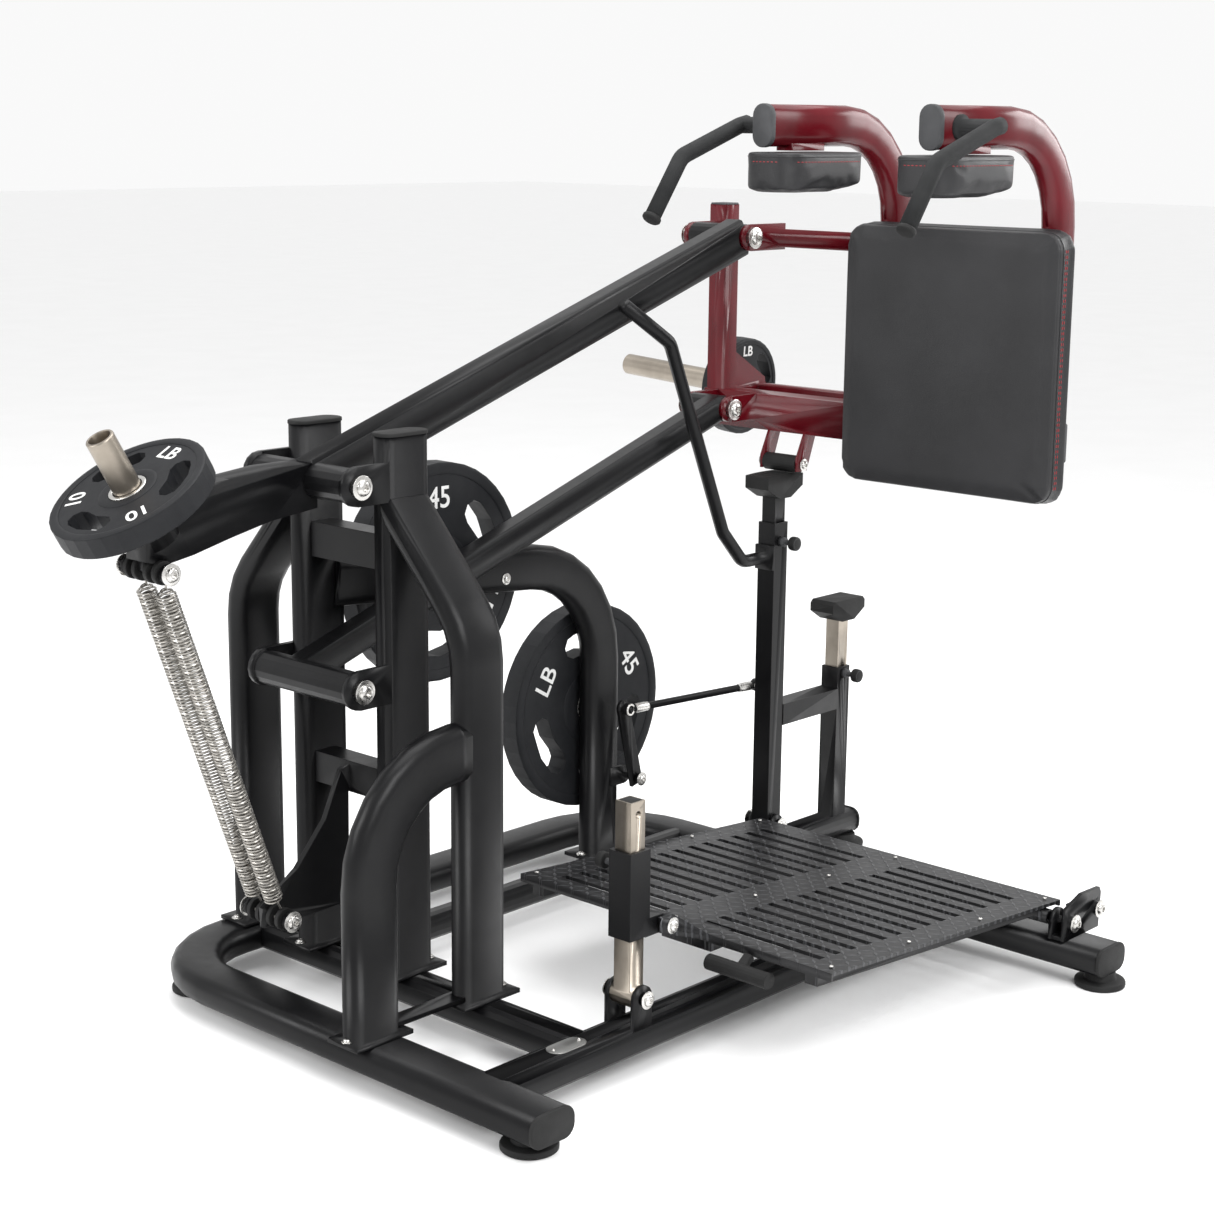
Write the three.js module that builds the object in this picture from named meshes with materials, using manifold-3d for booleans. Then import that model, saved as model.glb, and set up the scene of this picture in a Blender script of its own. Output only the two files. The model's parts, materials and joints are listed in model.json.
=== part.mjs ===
// Hack squat machine: a parallelogram lift arm with a counterweight, a padded
// carriage, a swinging lock post, a stop post and a tilting foot plate.
// Millimetres, +Z up, +X towards the user's end, +Y towards the far side.
import * as THREE from "three";
import { mergeVertices } from "three/addons/utils/BufferGeometryUtils.js";
import Module from "manifold-3d";

const wasm = await Module();
wasm.setup();

// ---- Clearances ----
const GAP = 0.3; // between pieces that touch
const PLAY = 1; // bore radius over bolt radius
const SIDE_PLAY = 1.5; // hub end to lug plate

// ---- Base ----
const FOOT_H = 30;
const FOOT_R = 50;
const RAIL_H = 56;
const LOOP_W = 100;
const LOOP_BEND = 190;
const REAR_X = -10;
const FRONT_X = 1288;
const FAR_Y = 1010;
const REAR_END_Y = -53;
const FRONT_END_Y = -318;
const NEAR_RAIL_Y = 110;
const NEAR_RAIL_W = 84;
const CROSS_W = 75;
const MIDDLE_Y = 779;
const MIDDLE_W = 56;
const POST_RAIL_END = 1665;
const POST_RAIL_W = 70;
const FLANGE_T = 8;

// ---- Frame ----
const MID_Y = 695; // the frame's plane of symmetry
const UP_X = 245;
const UP_W = 110;
const UP_D = 50;
const UP_OFF = 118; // upright centre from the mid plane
const UP_TOP = 1104;
const BRACE_OFF = 314;
const BRACE_KNEE = 770;
const BRACE_MEET = 985;
const BRACE_BEND = 150;
const REAR_BRACE_X = -15;
const REAR_BRACE_Z = 560;
const REAR_BRACE_BEND = 200;
const UPPER_CROSS_Z = 890;
const UPPER_CROSS_H = 66;
const LOWER_CROSS_Z = 450;
const LOWER_CROSS_H = 60;
const CROSS_T = 50;
const OVER_Y = 795;
const OVER_W = 95;
const OVER_D = 50;
const OVER_X = 1010;
const OVER_Z0 = 795;
const OVER_Z1 = 735;
const OVER_BEND = 230;

// ---- Parallelogram ----
const PIVOT_X = 126;
const PIVOT_TOP = 1023;
const PIVOT_LOW = 653;
const REACH_X = 1189;
const REACH_Z = 392;
const BOLT_R = 12;
const HEAD_R = 20;
const HEAD_T = 10;
const HUB_R = 32;
const LUG_T = 12;
const LUG_R = 36;
const UPPER_ARM_Y = 687;
const UPPER_ARM_W = 50;
const UPPER_ARM_H = 80;
const LOWER_ARM_Y = 738;
const LOWER_ARM_W = 48;
const LOWER_ARM_H = 57;
const END_HUB_R = 28;

// ---- Counterweight side ----
const COUNTER_W = 56;
const HORN_R = 25;
const HORN_BASE = [-236, 1005];
const HORN_LEN = 155;
const HORN_TILT = Math.PI / 6; // lean of the horn from upright
const SPRING_R = 18.5;
const SPRING_OFF = 28; // springs either side of the beam's plane
const SPRING_TOP = [-225, 905];
const SPRING_LOW = [20, 226];

// ---- Carriage ----
const CAR_Y = 818;
const CAR_POST = 45;
const CAR_POST_X = PIVOT_X + REACH_X + 115;
const CAR_BOTTOM = 1075;
const CAR_TOP = 1478;
const BEAM_W = 60;
const BEAM_Z = [995, 1073];
const REAR_TUBE_X = CAR_POST_X + 130;
const REAR_TUBE_Z = [1040, 1072];
const REAR_TUBE_W = 46;
const ROUND_BAR_R = 19.5;
const PAD_X = [CAR_POST_X - 85, CAR_POST_X - 30];
const PAD_Y = [-98, 427];
const PAD_Z = [914, 1462];
const PAD_ROUND = 42;
const J_Y = [-25, 362];
const J_X = CAR_POST_X + 10;
const J_W = 80;
const J_D = 46;
const J_TOP = 1650;
const J_LOW = 1062;
const J_BEND = 190;
const J_END = J_X - 440;
const SHOULDER_X = [J_END - 28, J_END + 223];
const SHOULDER_W = 130;
const SHOULDER_T = 76;
const SHOULDER_IN = 17; // each pad sits this far inward of its tube
const GRIP_R = 16;
const GRIP_OFF = 100;
const LOAD_HORN_R = 24;
const LOAD_HORN_Z = 1061;
const LOAD_HORN_LEN = 375;
const ROLLER_R = 19;
const ROLLER_AT = [CAR_POST_X - 38, 930];
const ROLLER_LEN = 88;

// ---- Discs ----
const BIG_R = 222.5;
const BIG_T = 45;
const COUNTER_DISC_R = 143;
const LOAD_DISC_R = 110;
const SMALL_T = 38;
const BIG_BORE = 26;

// ---- Lock post and stop post ----
const LOCK_Y = 606;
const LOCK_X = 1362;
const LOCK_PIVOT_Z = 118;
const LOCK_W = 45;
const LOCK_TOP = 803;
const LOCK_PIN_DROP = 42; // pull pin below the top of its outer tube
const STOP_PIN_DROP = 15;
const PIN_LEN = 46;
const LOCK_INNER = 35;
const LOCK_INNER_TOP = 858;
const STOP_X = 1606;
const STOP_TOP = 438;
const STOP_INNER_TOP = 548;
const BUMPER_X = 120;
const BUMPER_Y = 64;
const BUMPER_H = 49;
const BAR_Z = 366;
const BAR_H = 48;
const PIN_R = 6;
const KNOB_R = 13;

// ---- Foot plate ----
const PLATE_X = [540, 1292];
const PLATE_Z = [207, 151];
const PLATE_Y = [-200, 565];
const PLATE_T = 7;
const HINGE_X = 1262;
const HINGE_Z = 122;
const STRUT_X = 355;
const STRUT_Y = 110;
const STRUT_Z = 137;
const STRUT_W = 37;
const STRUT_TOP = 497;
const SLEEVE_W = 52;
const SLEEVE_Z = [246, 407];
const LINK_X = 415; // pivot between sleeve and foot plate
const LINK_Z = 262;

// ---- Release lever ----
const LEVER_X = 1058;
const LEVER_Z = 260;
const LEVER_Y = 730;
const LEVER_TOP = [1017, 423];
const ROD_END = [1345, 428];

const X = new THREE.Vector3(1, 0, 0);
const Y = new THREE.Vector3(0, 1, 0);
const Z = new THREE.Vector3(0, 0, 1);
const at = (x, y, z) => new THREE.Vector3(x, y, z);

// ---- Solids ----
function solid(geometry) {
  const bare = geometry.clone();
  bare.deleteAttribute("normal");
  bare.deleteAttribute("uv");
  const merged = mergeVertices(bare, 1e-4);
  return new wasm.Manifold(
    new wasm.Mesh({
      numProp: 3,
      vertProperties: new Float32Array(merged.attributes.position.array),
      triVerts: new Uint32Array(merged.index.array),
    }),
  );
}

// A rounded rectangle, w by h, with its corners in `per` steps.
function section(w, h, round, per) {
  const points = [];
  for (let c = 0; c < 4; c++) {
    const cx = (w / 2 - round) * (c === 0 || c === 3 ? 1 : -1);
    const cy = (h / 2 - round) * (c < 2 ? 1 : -1);
    for (let i = 0; i <= per; i++) {
      const a = (c + i / per) * (Math.PI / 2);
      points.push(new THREE.Vector2(cx + round * Math.cos(a), cy + round * Math.sin(a)));
    }
  }
  return new THREE.Shape(points);
}

// A path of straight runs and bends in the plane whose normal is given.
class BentPath extends THREE.Curve {
  constructor(corners, bend, normal) {
    super();
    this.stations = [];
    const last = corners.length - 1;
    const put = (p, t) => this.stations.push({ p, t });
    const way = (i) => corners[i + 1].clone().sub(corners[i]).normalize();
    put(corners[0].clone(), way(0));
    for (let i = 1; i < last; i++) {
      const a = way(i - 1);
      const b = way(i);
      const turn = Math.acos(THREE.MathUtils.clamp(a.dot(b), -1, 1));
      const back = bend * Math.tan(turn / 2);
      const axis = a.clone().cross(b).normalize();
      const inward = axis.clone().cross(a).normalize();
      const start = corners[i].clone().addScaledVector(a, -back);
      const centre = start.clone().addScaledVector(inward, bend);
      const steps = Math.max(3, Math.round(turn / (Math.PI / 14)));
      for (let k = 0; k <= steps; k++) {
        const q = (turn * k) / steps;
        const out = start.clone().sub(centre).applyAxisAngle(axis, q);
        put(out.add(centre), a.clone().applyAxisAngle(axis, q));
      }
    }
    put(corners[last].clone(), way(last - 1));
    this.normal = normal;
  }
  getSpacedPoints() {
    return this.stations.map((s) => s.p);
  }
  computeFrenetFrames() {
    const tangents = this.stations.map((s) => s.t);
    const binormals = this.stations.map(() => this.normal.clone());
    const normals = tangents.map((t) => this.normal.clone().cross(t).normalize());
    return { tangents, normals, binormals };
  }
}

// A bar along corners: w across the path in its plane, h along the plane's normal.
function tube(corners, w, h, normal, opt = {}) {
  const { bend = 1, round = 4, per = 1, grow = 0 } = opt;
  const path = new BentPath(corners, bend, normal);
  const steps = path.stations.length - 1;
  const shape = section(w + 2 * grow, h + 2 * grow, round + grow, per);
  return solid(
    new THREE.ExtrudeGeometry(shape, { steps, bevelEnabled: false, extrudePath: path }),
  );
}

function box(x0, x1, y0, y1, z0, z1) {
  const g = new THREE.BoxGeometry(x1 - x0, y1 - y0, z1 - z0);
  g.translate((x0 + x1) / 2, (y0 + y1) / 2, (z0 + z1) / 2);
  return solid(g);
}

function rod(from, to, r, sides = 16) {
  const way = to.clone().sub(from);
  const g = new THREE.CylinderGeometry(r, r, way.length(), sides);
  const turn = new THREE.Quaternion().setFromUnitVectors(Y, way.clone().normalize());
  g.applyQuaternion(turn);
  const mid = from.clone().add(to).multiplyScalar(0.5);
  g.translate(mid.x, mid.y, mid.z);
  return solid(g);
}

// A rod along Y, at x and z.
const rodY = (x, z, y0, y1, r, sides = 16) => rod(at(x, y0, z), at(x, y1, z), r, sides);

// A plate in the XZ plane from outline points [x, z], y0 to y1.
function plateXZ(points, y0, y1) {
  const shape = new THREE.Shape(points.map(([x, z]) => new THREE.Vector2(x, z)));
  const g = new THREE.ExtrudeGeometry(shape, { depth: y1 - y0, bevelEnabled: false });
  g.rotateX(Math.PI / 2);
  g.translate(0, y1, 0);
  return solid(g);
}

// A lug in the XZ plane: a strip of half-width r from [x0, z0] with a round end at [x1, z1].
function lug(x0, z0, x1, z1, r, y0, y1) {
  const a = Math.atan2(z1 - z0, x1 - x0);
  const points = [];
  for (let i = 0; i <= 8; i++) {
    const q = a - Math.PI / 2 + (Math.PI * i) / 8;
    points.push([x1 + r * Math.cos(q), z1 + r * Math.sin(q)]);
  }
  points.push([x0 - r * Math.sin(a), z0 + r * Math.cos(a)]);
  points.push([x0 + r * Math.sin(a), z0 - r * Math.cos(a)]);
  return plateXZ(points, y0, y1);
}

function bolt(x, z, y0, y1, r = BOLT_R, head = HEAD_R) {
  return rodY(x, z, y0, y1, r)
    .add(rodY(x, z, y0 - HEAD_T, y0, head, 12))
    .add(rodY(x, z, y1, y1 + HEAD_T, head, 6));
}

const bore = (x, z, y0, y1, r = BOLT_R + PLAY) => rodY(x, z, y0, y1, r);

// ---- Pieces ----
const group = new THREE.Group();
group.name = "hack_squat_machine";
const pieces = new Map();
const look = {
  frame: [0x151617, 0.45, 0.35],
  burgundy: [0x5a1016, 0.35, 0.55],
  steel: [0xb5afa6, 0.3, 0.9],
  chrome: [0xd0d2d4, 0.15, 1],
  rubber: [0x2b2c2e, 0.8, 0],
  vinyl: [0x111112, 0.6, 0],
  plastic: [0x333436, 0.6, 0],
  black: [0x0c0c0d, 0.6, 0.1],
};

function add(name, body, kind) {
  const raw = body.getMesh();
  const g = new THREE.BufferGeometry();
  g.setAttribute("position", new THREE.BufferAttribute(raw.vertProperties, 3));
  g.setIndex(new THREE.BufferAttribute(raw.triVerts, 1));
  const [color, roughness, metalness] = look[kind];
  const mesh = new THREE.Mesh(
    g,
    new THREE.MeshStandardMaterial({ color, roughness, metalness }),
  );
  mesh.name = name;
  group.add(mesh);
  pieces.set(name, body);
}

const RAIL_MID = FOOT_H + RAIL_H / 2;
const RAIL_TOP = FOOT_H + RAIL_H;
const FLANGE_Z = RAIL_TOP + GAP;
const OVAL = { round: 22, per: 3 };

// ---- Base ----
function loop(grow = 0) {
  const corners = [
    at(REAR_X, REAR_END_Y, RAIL_MID),
    at(REAR_X, FAR_Y, RAIL_MID),
    at(FRONT_X, FAR_Y, RAIL_MID),
    at(FRONT_X, FRONT_END_Y, RAIL_MID),
  ];
  return tube(corners, LOOP_W, RAIL_H, Z, { ...OVAL, bend: LOOP_BEND, grow });
}

function nearRail(grow = 0) {
  const ends = [at(REAR_X, NEAR_RAIL_Y, RAIL_MID), at(FRONT_X, NEAR_RAIL_Y, RAIL_MID)];
  return tube(ends, NEAR_RAIL_W, RAIL_H, Z, { ...OVAL, grow });
}

function buildBase() {
  const grown = loop(GAP);
  add("base_loop_rail", loop(), "frame");
  const hubHalf = 26;
  let near = nearRail().subtract(grown);
  for (const s of [-1, 1]) {
    const y = STRUT_Y + s * (hubHalf + SIDE_PLAY + 4);
    near = near.add(lug(STRUT_X, RAIL_TOP - 6, STRUT_X, STRUT_Z, 24, y - 4, y + 4));
  }
  near = near.add(bolt(STRUT_X, STRUT_Z, STRUT_Y - 36, STRUT_Y + 36, 8, 13));
  add("near_side_rail", near, "frame");

  const top = { ...OVAL };
  const cross = tube(
    [at(UP_X, NEAR_RAIL_Y, RAIL_MID), at(UP_X, FAR_Y, RAIL_MID)],
    CROSS_W,
    RAIL_H,
    Z,
    top,
  );
  const middle = tube(
    [at(UP_X, MIDDLE_Y, RAIL_MID), at(FRONT_X, MIDDLE_Y, RAIL_MID)],
    MIDDLE_W,
    RAIL_H,
    Z,
    top,
  );
  const inner = cross.add(middle).subtract(grown).subtract(nearRail(GAP));
  add("cross_and_middle_rail", inner, "frame");

  let post = tube(
    [at(FRONT_X, LOCK_Y, RAIL_MID), at(POST_RAIL_END, LOCK_Y, RAIL_MID)],
    POST_RAIL_W,
    RAIL_H,
    Z,
    top,
  ).subtract(grown);
  const half = LOCK_W / 2;
  const wall = half - LOCK_INNER / 2 - GAP;
  const stopTube = box(
    STOP_X - half,
    STOP_X + half,
    LOCK_Y - half,
    LOCK_Y + half,
    RAIL_TOP - 4,
    STOP_TOP,
  ).subtract(
    box(
      STOP_X - half + wall,
      STOP_X + half - wall,
      LOCK_Y - half + wall,
      LOCK_Y + half - wall,
      STOP_TOP - 260,
      STOP_TOP + 1,
    ),
  );
  const rest = box(
    LOCK_X + half + GAP,
    STOP_X - half + 2,
    LOCK_Y - BAR_H / 2,
    LOCK_Y + BAR_H / 2,
    BAR_Z - BAR_H / 2,
    BAR_Z + BAR_H / 2,
  );
  post = post.add(stopTube).add(rest);
  for (const s of [-1, 1]) {
    const y = LOCK_Y + s * (half + SIDE_PLAY + 4);
    post = post.add(lug(LOCK_X, RAIL_TOP - 8, LOCK_X, LOCK_PIVOT_Z, 22, y - 4, y + 4));
  }
  post = post.add(bolt(LOCK_X, LOCK_PIVOT_Z, LOCK_Y - 35, LOCK_Y + 35, 9, 14));
  post = post.subtract(bore(STOP_X, STOP_TOP - STOP_PIN_DROP, LOCK_Y - 60, LOCK_Y, PIN_R + PLAY));
  add("post_rail", post, "frame");

  const feet = {
    foot_rear_near: [REAR_X + 8, 4],
    foot_front_near: [FRONT_X + 4, FRONT_END_Y + 20],
    foot_post: [POST_RAIL_END - 22, LOCK_Y - 6],
    foot_rear_far: [REAR_X + 55, FAR_Y - 55],
    foot_front_far: [FRONT_X - 55, FAR_Y - 55],
  };
  for (const [name, [x, y]] of Object.entries(feet)) {
    const pad = rod(at(x, y, 0), at(x, y, 12), FOOT_R, 20);
    add(name, pad.add(rod(at(x, y, 10), at(x, y, FOOT_H - GAP), 30, 16)), "rubber");
  }
}

// ---- Frame ----
const hubEnd = UP_OFF + 15; // outer face of a frame lug from the mid plane
function upright(side, grow = 0) {
  const y = MID_Y + side * UP_OFF;
  const ends = [at(UP_X, y, FLANGE_Z), at(UP_X, y, UP_TOP)];
  return tube(ends, UP_D, UP_W, X, { ...OVAL, grow });
}

function outerBrace(side, grow = 0) {
  const y = MID_Y + side * BRACE_OFF;
  const corners = [
    at(UP_X, y, FLANGE_Z),
    at(UP_X, y, BRACE_KNEE),
    at(UP_X, MID_Y + side * UP_OFF, BRACE_MEET),
  ];
  const all = tube(corners, UP_D, UP_W, X, { ...OVAL, bend: BRACE_BEND, grow });
  const plateY = MID_Y + side * (hubEnd + LUG_T / 2 - 6);
  const y0 = plateY - LUG_T / 2 - GAP;
  const clear = lug(UP_X - 30, PIVOT_TOP, PIVOT_X, PIVOT_TOP, LUG_R + GAP, y0, y0 + LUG_T + 2 * GAP);
  return all.subtract(upright(side, GAP)).subtract(clear);
}

function flange(x, y, w, d) {
  return box(x - w / 2, x + w / 2, y - d / 2, y + d / 2, FLANGE_Z, FLANGE_Z + FLANGE_T);
}

function buildFrame() {
  for (const [side, tag] of [
    [-1, "near"],
    [1, "far"],
  ]) {
    const y = MID_Y + side * UP_OFF;
    const outer = MID_Y + side * (hubEnd + LUG_T / 2 - 6);
    let up = upright(side).add(flange(UP_X, y, 140, 78));
    for (const z of [PIVOT_TOP, PIVOT_LOW]) {
      const plate = lug(UP_X - 30, z, PIVOT_X, z, LUG_R, outer - LUG_T / 2, outer + LUG_T / 2);
      up = up.add(plate).subtract(bore(PIVOT_X, z, outer - 20, outer + 20, BOLT_R + GAP));
    }
    add(tag + "_upright", up, "frame");
    const by = MID_Y + side * BRACE_OFF;
    add(tag + "_outer_brace", outerBrace(side).add(flange(UP_X, by, 140, 78)), "frame");
  }

  const rearY = MID_Y - BRACE_OFF;
  const rear = tube(
    [
      at(REAR_BRACE_X, rearY, FLANGE_Z),
      at(REAR_BRACE_X, rearY, REAR_BRACE_Z),
      at(UP_X, rearY, REAR_BRACE_Z),
    ],
    UP_W,
    UP_D,
    Y,
    { ...OVAL, bend: REAR_BRACE_BEND },
  );
  const rearFlange = flange(REAR_BRACE_X, rearY, 130, 78);
  const tie = box(REAR_BRACE_X, UP_X, rearY - 18, rearY + 18, FLANGE_Z + 10, FLANGE_Z + 18);
  const brace = rear.add(rearFlange).add(tie).subtract(outerBrace(-1, GAP));
  const clear = flange(UP_X, rearY, 140 + 2 * GAP, 78 + 2 * GAP);
  add("near_rear_brace", brace.subtract(clear), "frame");

  const inside = UP_OFF - UP_D / 2 - GAP;
  const crossbar = (z, h, x) =>
    box(x - CROSS_T / 2, x + CROSS_T / 2, MID_Y - inside, MID_Y + inside, z - h / 2, z + h / 2);
  add("upper_crossbar", crossbar(UPPER_CROSS_Z, UPPER_CROSS_H, UP_X - 10), "frame");
  const gusset = plateXZ(
    [
      [UP_X - 20, LOWER_CROSS_Z + 30],
      [UP_X - 38, LOWER_CROSS_Z - 30],
      [UP_X - 40, SPRING_LOW[1] - 20],
      [SPRING_LOW[0] + 10, SPRING_LOW[1] - 26],
      [SPRING_LOW[0] - 20, SPRING_LOW[1] - 22],
      [SPRING_LOW[0] - 22, SPRING_LOW[1] + 16],
      [SPRING_LOW[0] + 60, SPRING_LOW[1] + 72],
      [SPRING_LOW[0] + 130, SPRING_LOW[1] + 152],
      [SPRING_LOW[0] + 170, SPRING_LOW[1] + 240],
    ],
    MID_Y - 6,
    MID_Y + 6,
  );
  const reach = SPRING_OFF + SPRING_R + 6;
  const anchor = bolt(...SPRING_LOW, MID_Y - reach, MID_Y + reach, 8, 17);
  const low = crossbar(LOWER_CROSS_Z, LOWER_CROSS_H, UP_X - 10);
  add("lower_crossbar", low.add(gusset).add(anchor), "frame");

  let over = tube(
    [
      at(UP_X + 20, OVER_Y, OVER_Z0 + 4),
      at(OVER_X, OVER_Y, OVER_Z1),
      at(OVER_X, OVER_Y, FLANGE_Z),
    ],
    OVER_W,
    OVER_D,
    Y,
    { ...OVAL, bend: OVER_BEND },
  ).subtract(upright(1, GAP));
  over = over.add(flange(OVER_X, OVER_Y - 4, 130, 84));
  const face = OVER_Y + OVER_D / 2;
  over = over.add(rodY(574, 768, face - 6, face + 140, HORN_R - 2));
  over = over.add(rodY(1012, 412, face - 6, face + 140, HORN_R - 2));
  const near = OVER_Y - OVER_D / 2;
  over = over.add(lug(OVER_X + 10, LEVER_Z, LEVER_X, LEVER_Z, 20, near - 8, near + 4));
  over = over.add(rodY(LEVER_X, LEVER_Z, LEVER_Y - 12, near - 4, 7));
  over = over.add(rodY(LEVER_X, LEVER_Z, LEVER_Y - 18, LEVER_Y - 10, 12, 12));
  add("overhead_brace", over, "frame");

  for (const [name, z] of [
    ["upper_pivot_bolt", PIVOT_TOP],
    ["lower_pivot_bolt", PIVOT_LOW],
  ]) {
    const reachY = hubEnd + LUG_T / 2 + GAP + LUG_T / 2 - 6;
    add(name, bolt(PIVOT_X, z, MID_Y - reachY, MID_Y + reachY), "steel");
  }
}

// ---- Arms ----
const hubHalf = hubEnd - LUG_T / 2 - SIDE_PLAY - 1;
function arm(z, y, w, h, endHalf) {
  const end = at(PIVOT_X + REACH_X, y, z + REACH_Z);
  let body = tube([at(PIVOT_X, y, z), end], h, w, Y, { round: 8, per: 2 });
  body = body.add(rodY(PIVOT_X, z, MID_Y - hubHalf, MID_Y + hubHalf, HUB_R));
  body = body.add(rodY(end.x, end.z, endHalf[0], endHalf[1], END_HUB_R));
  body = body.subtract(bore(PIVOT_X, z, MID_Y - 200, MID_Y + 200));
  return body.subtract(bore(end.x, end.z, endHalf[0] - 60, endHalf[1] + 60));
}

const UPPER_END = [660, 800];
const LOWER_END = [706, 800];
function buildArms() {
  const upper = arm(PIVOT_TOP, UPPER_ARM_Y, UPPER_ARM_W, UPPER_ARM_H, UPPER_END);
  add("upper_arm", upper, "frame");
  const low = arm(PIVOT_LOW, LOWER_ARM_Y, LOWER_ARM_W, LOWER_ARM_H, LOWER_END);
  add("lower_arm", low, "frame");

  const beam = plateXZ(
    [
      [PIVOT_X, PIVOT_TOP + 32],
      [20, PIVOT_TOP + 32],
      [-70, 1046],
      [-150, 1030],
      [-218, 1000],
      [-246, 978],
      [-249, 924],
      [-212, 914],
      [-150, 924],
      [-70, 943],
      [20, 962],
      [PIVOT_X, PIVOT_TOP - 50],
    ],
    MID_Y - COUNTER_W / 2,
    MID_Y + COUNTER_W / 2,
  );
  const reach = SPRING_OFF + SPRING_R + 6;
  const pin = bolt(...SPRING_TOP, MID_Y - reach, MID_Y + reach, 8, 17);
  const around = rodY(PIVOT_X, PIVOT_TOP, MID_Y - 60, MID_Y + 60, HUB_R + GAP);
  const armTube = tube(
    [at(PIVOT_X, UPPER_ARM_Y, PIVOT_TOP), at(PIVOT_X + REACH_X, UPPER_ARM_Y, PIVOT_TOP + REACH_Z)],
    UPPER_ARM_H,
    UPPER_ARM_W,
    Y,
    { round: 8, per: 2, grow: GAP },
  );
  const hanger = lug(...SPRING_TOP, SPRING_TOP[0], SPRING_TOP[1] + 40, 15, MID_Y - 6, MID_Y + 6);
  const counter = beam.subtract(around).subtract(armTube).add(hanger).add(pin);
  const foot = at(HORN_BASE[0], MID_Y, HORN_BASE[1]);
  const lean = at(-Math.sin(HORN_TILT), 0, Math.cos(HORN_TILT));
  const hornAt = (s) => foot.clone().addScaledVector(lean, s);
  const collar = rod(hornAt(0), hornAt(12), 44, 20);
  const horn = collar.add(rod(hornAt(6), hornAt(HORN_LEN), HORN_R));
  const seat = rod(hornAt(-60), hornAt(-GAP), 42, 20);
  const counterBody = counter.add(seat.intersect(box(-300, 0, 650, 740, 930, 1100)));
  const above = rod(hornAt(0 - GAP), hornAt(200), 300, 20);
  add("counter_arm", counterBody.subtract(above), "frame");
  add("counter_horn", horn, "steel");
  let disc = rod(hornAt(12 + GAP), hornAt(12 + GAP + SMALL_T), COUNTER_DISC_R, 32);
  disc = disc.subtract(rod(hornAt(0), hornAt(100), HORN_R + PLAY));
  add("counter_plate", disc.subtract(holesAlong(hornAt(32), lean, 96, 20, 0)), "rubber");

  // Springs hang from the pin outside the beam, down to the anchor bolt.
  const from = at(SPRING_TOP[0], 0, SPRING_TOP[1]);
  const to = at(SPRING_LOW[0], 0, SPRING_LOW[1]);
  const way = to.clone().sub(from).normalize();
  const trim = 8 + GAP + 1;
  for (const s of [-1, 1]) {
    const shift = at(0, MID_Y + s * SPRING_OFF, 0);
    const a = from.clone().addScaledVector(way, trim).add(shift);
    const b = to.clone().addScaledVector(way, -trim).add(shift);
    add(s < 0 ? "near_spring" : "far_spring", rod(a, b, SPRING_R, 12), "steel");
  }
}

// Three long grip holes through a disc centred on `mid`, `r` from its axis,
// turned round it by `turn`.
function holesAlong(mid, axis, r, width, turn) {
  const side = Math.abs(axis.y) > 0.5 ? X.clone() : Y.clone();
  const other = axis.clone().cross(side).normalize();
  let all = null;
  for (let i = 0; i < 3; i++) {
    const hole = [];
    for (const d of [-0.33, 0, 0.33]) {
      const q = Math.PI / 2 + turn + (i * 2 * Math.PI) / 3 + d;
      const c = mid
        .clone()
        .addScaledVector(side, r * Math.cos(q))
        .addScaledVector(other, r * Math.sin(q));
      hole.push(rod(c.clone().addScaledVector(axis, -60), c.clone().addScaledVector(axis, 60), width, 8));
    }
    const slot = wasm.Manifold.hull([hole[0], hole[1]]).add(wasm.Manifold.hull([hole[1], hole[2]]));
    all = all ? all.add(slot) : slot;
  }
  return all;
}

function buildDiscs() {
  const y0 = OVER_Y + OVER_D / 2 + 8;
  for (const [name, x, z, turn] of [
    ["upper_disc", 574, 768, 0],
    ["lower_disc", 1012, 412, Math.PI],
  ]) {
    let disc = rodY(x, z, y0, y0 + BIG_T, BIG_R, 40);
    disc = disc.subtract(bore(x, z, y0 - 5, y0 + BIG_T + 5, BIG_BORE));
    const mid = at(x, y0 + BIG_T / 2, z);
    add(name, disc.subtract(holesAlong(mid, Y.clone(), 146, 26, turn)), "rubber");
  }
  const slope = at(0, 1, 24 / LOAD_HORN_LEN).normalize();
  const foot = at(REAR_TUBE_X, CAR_Y + 24, LOAD_HORN_Z);
  const from = (s) => foot.clone().addScaledVector(slope, s);
  const horn = rod(from(3.3), from(12), 42, 20).add(rod(from(6), from(LOAD_HORN_LEN), LOAD_HORN_R));
  add("load_horn", horn, "steel");
  let disc = rod(from(12 + GAP), from(12 + GAP + SMALL_T), LOAD_DISC_R, 32);
  disc = disc.subtract(rod(from(0), from(100), LOAD_HORN_R + PLAY + 1));
  add("load_plate", disc.subtract(holesAlong(from(30), slope, 76, 16, 0)), "rubber");
}

// ---- Carriage ----
// The round bar runs from the post through both shoulder tubes.
function upperBar(grow = 0) {
  const far = CAR_Y - CAR_POST / 2 + 3;
  const near = J_Y[0] - J_D / 2 - 6 - grow;
  return rodY(CAR_POST_X - 5, PIVOT_TOP + REACH_Z - 4, near, far, ROUND_BAR_R + grow);
}

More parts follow.
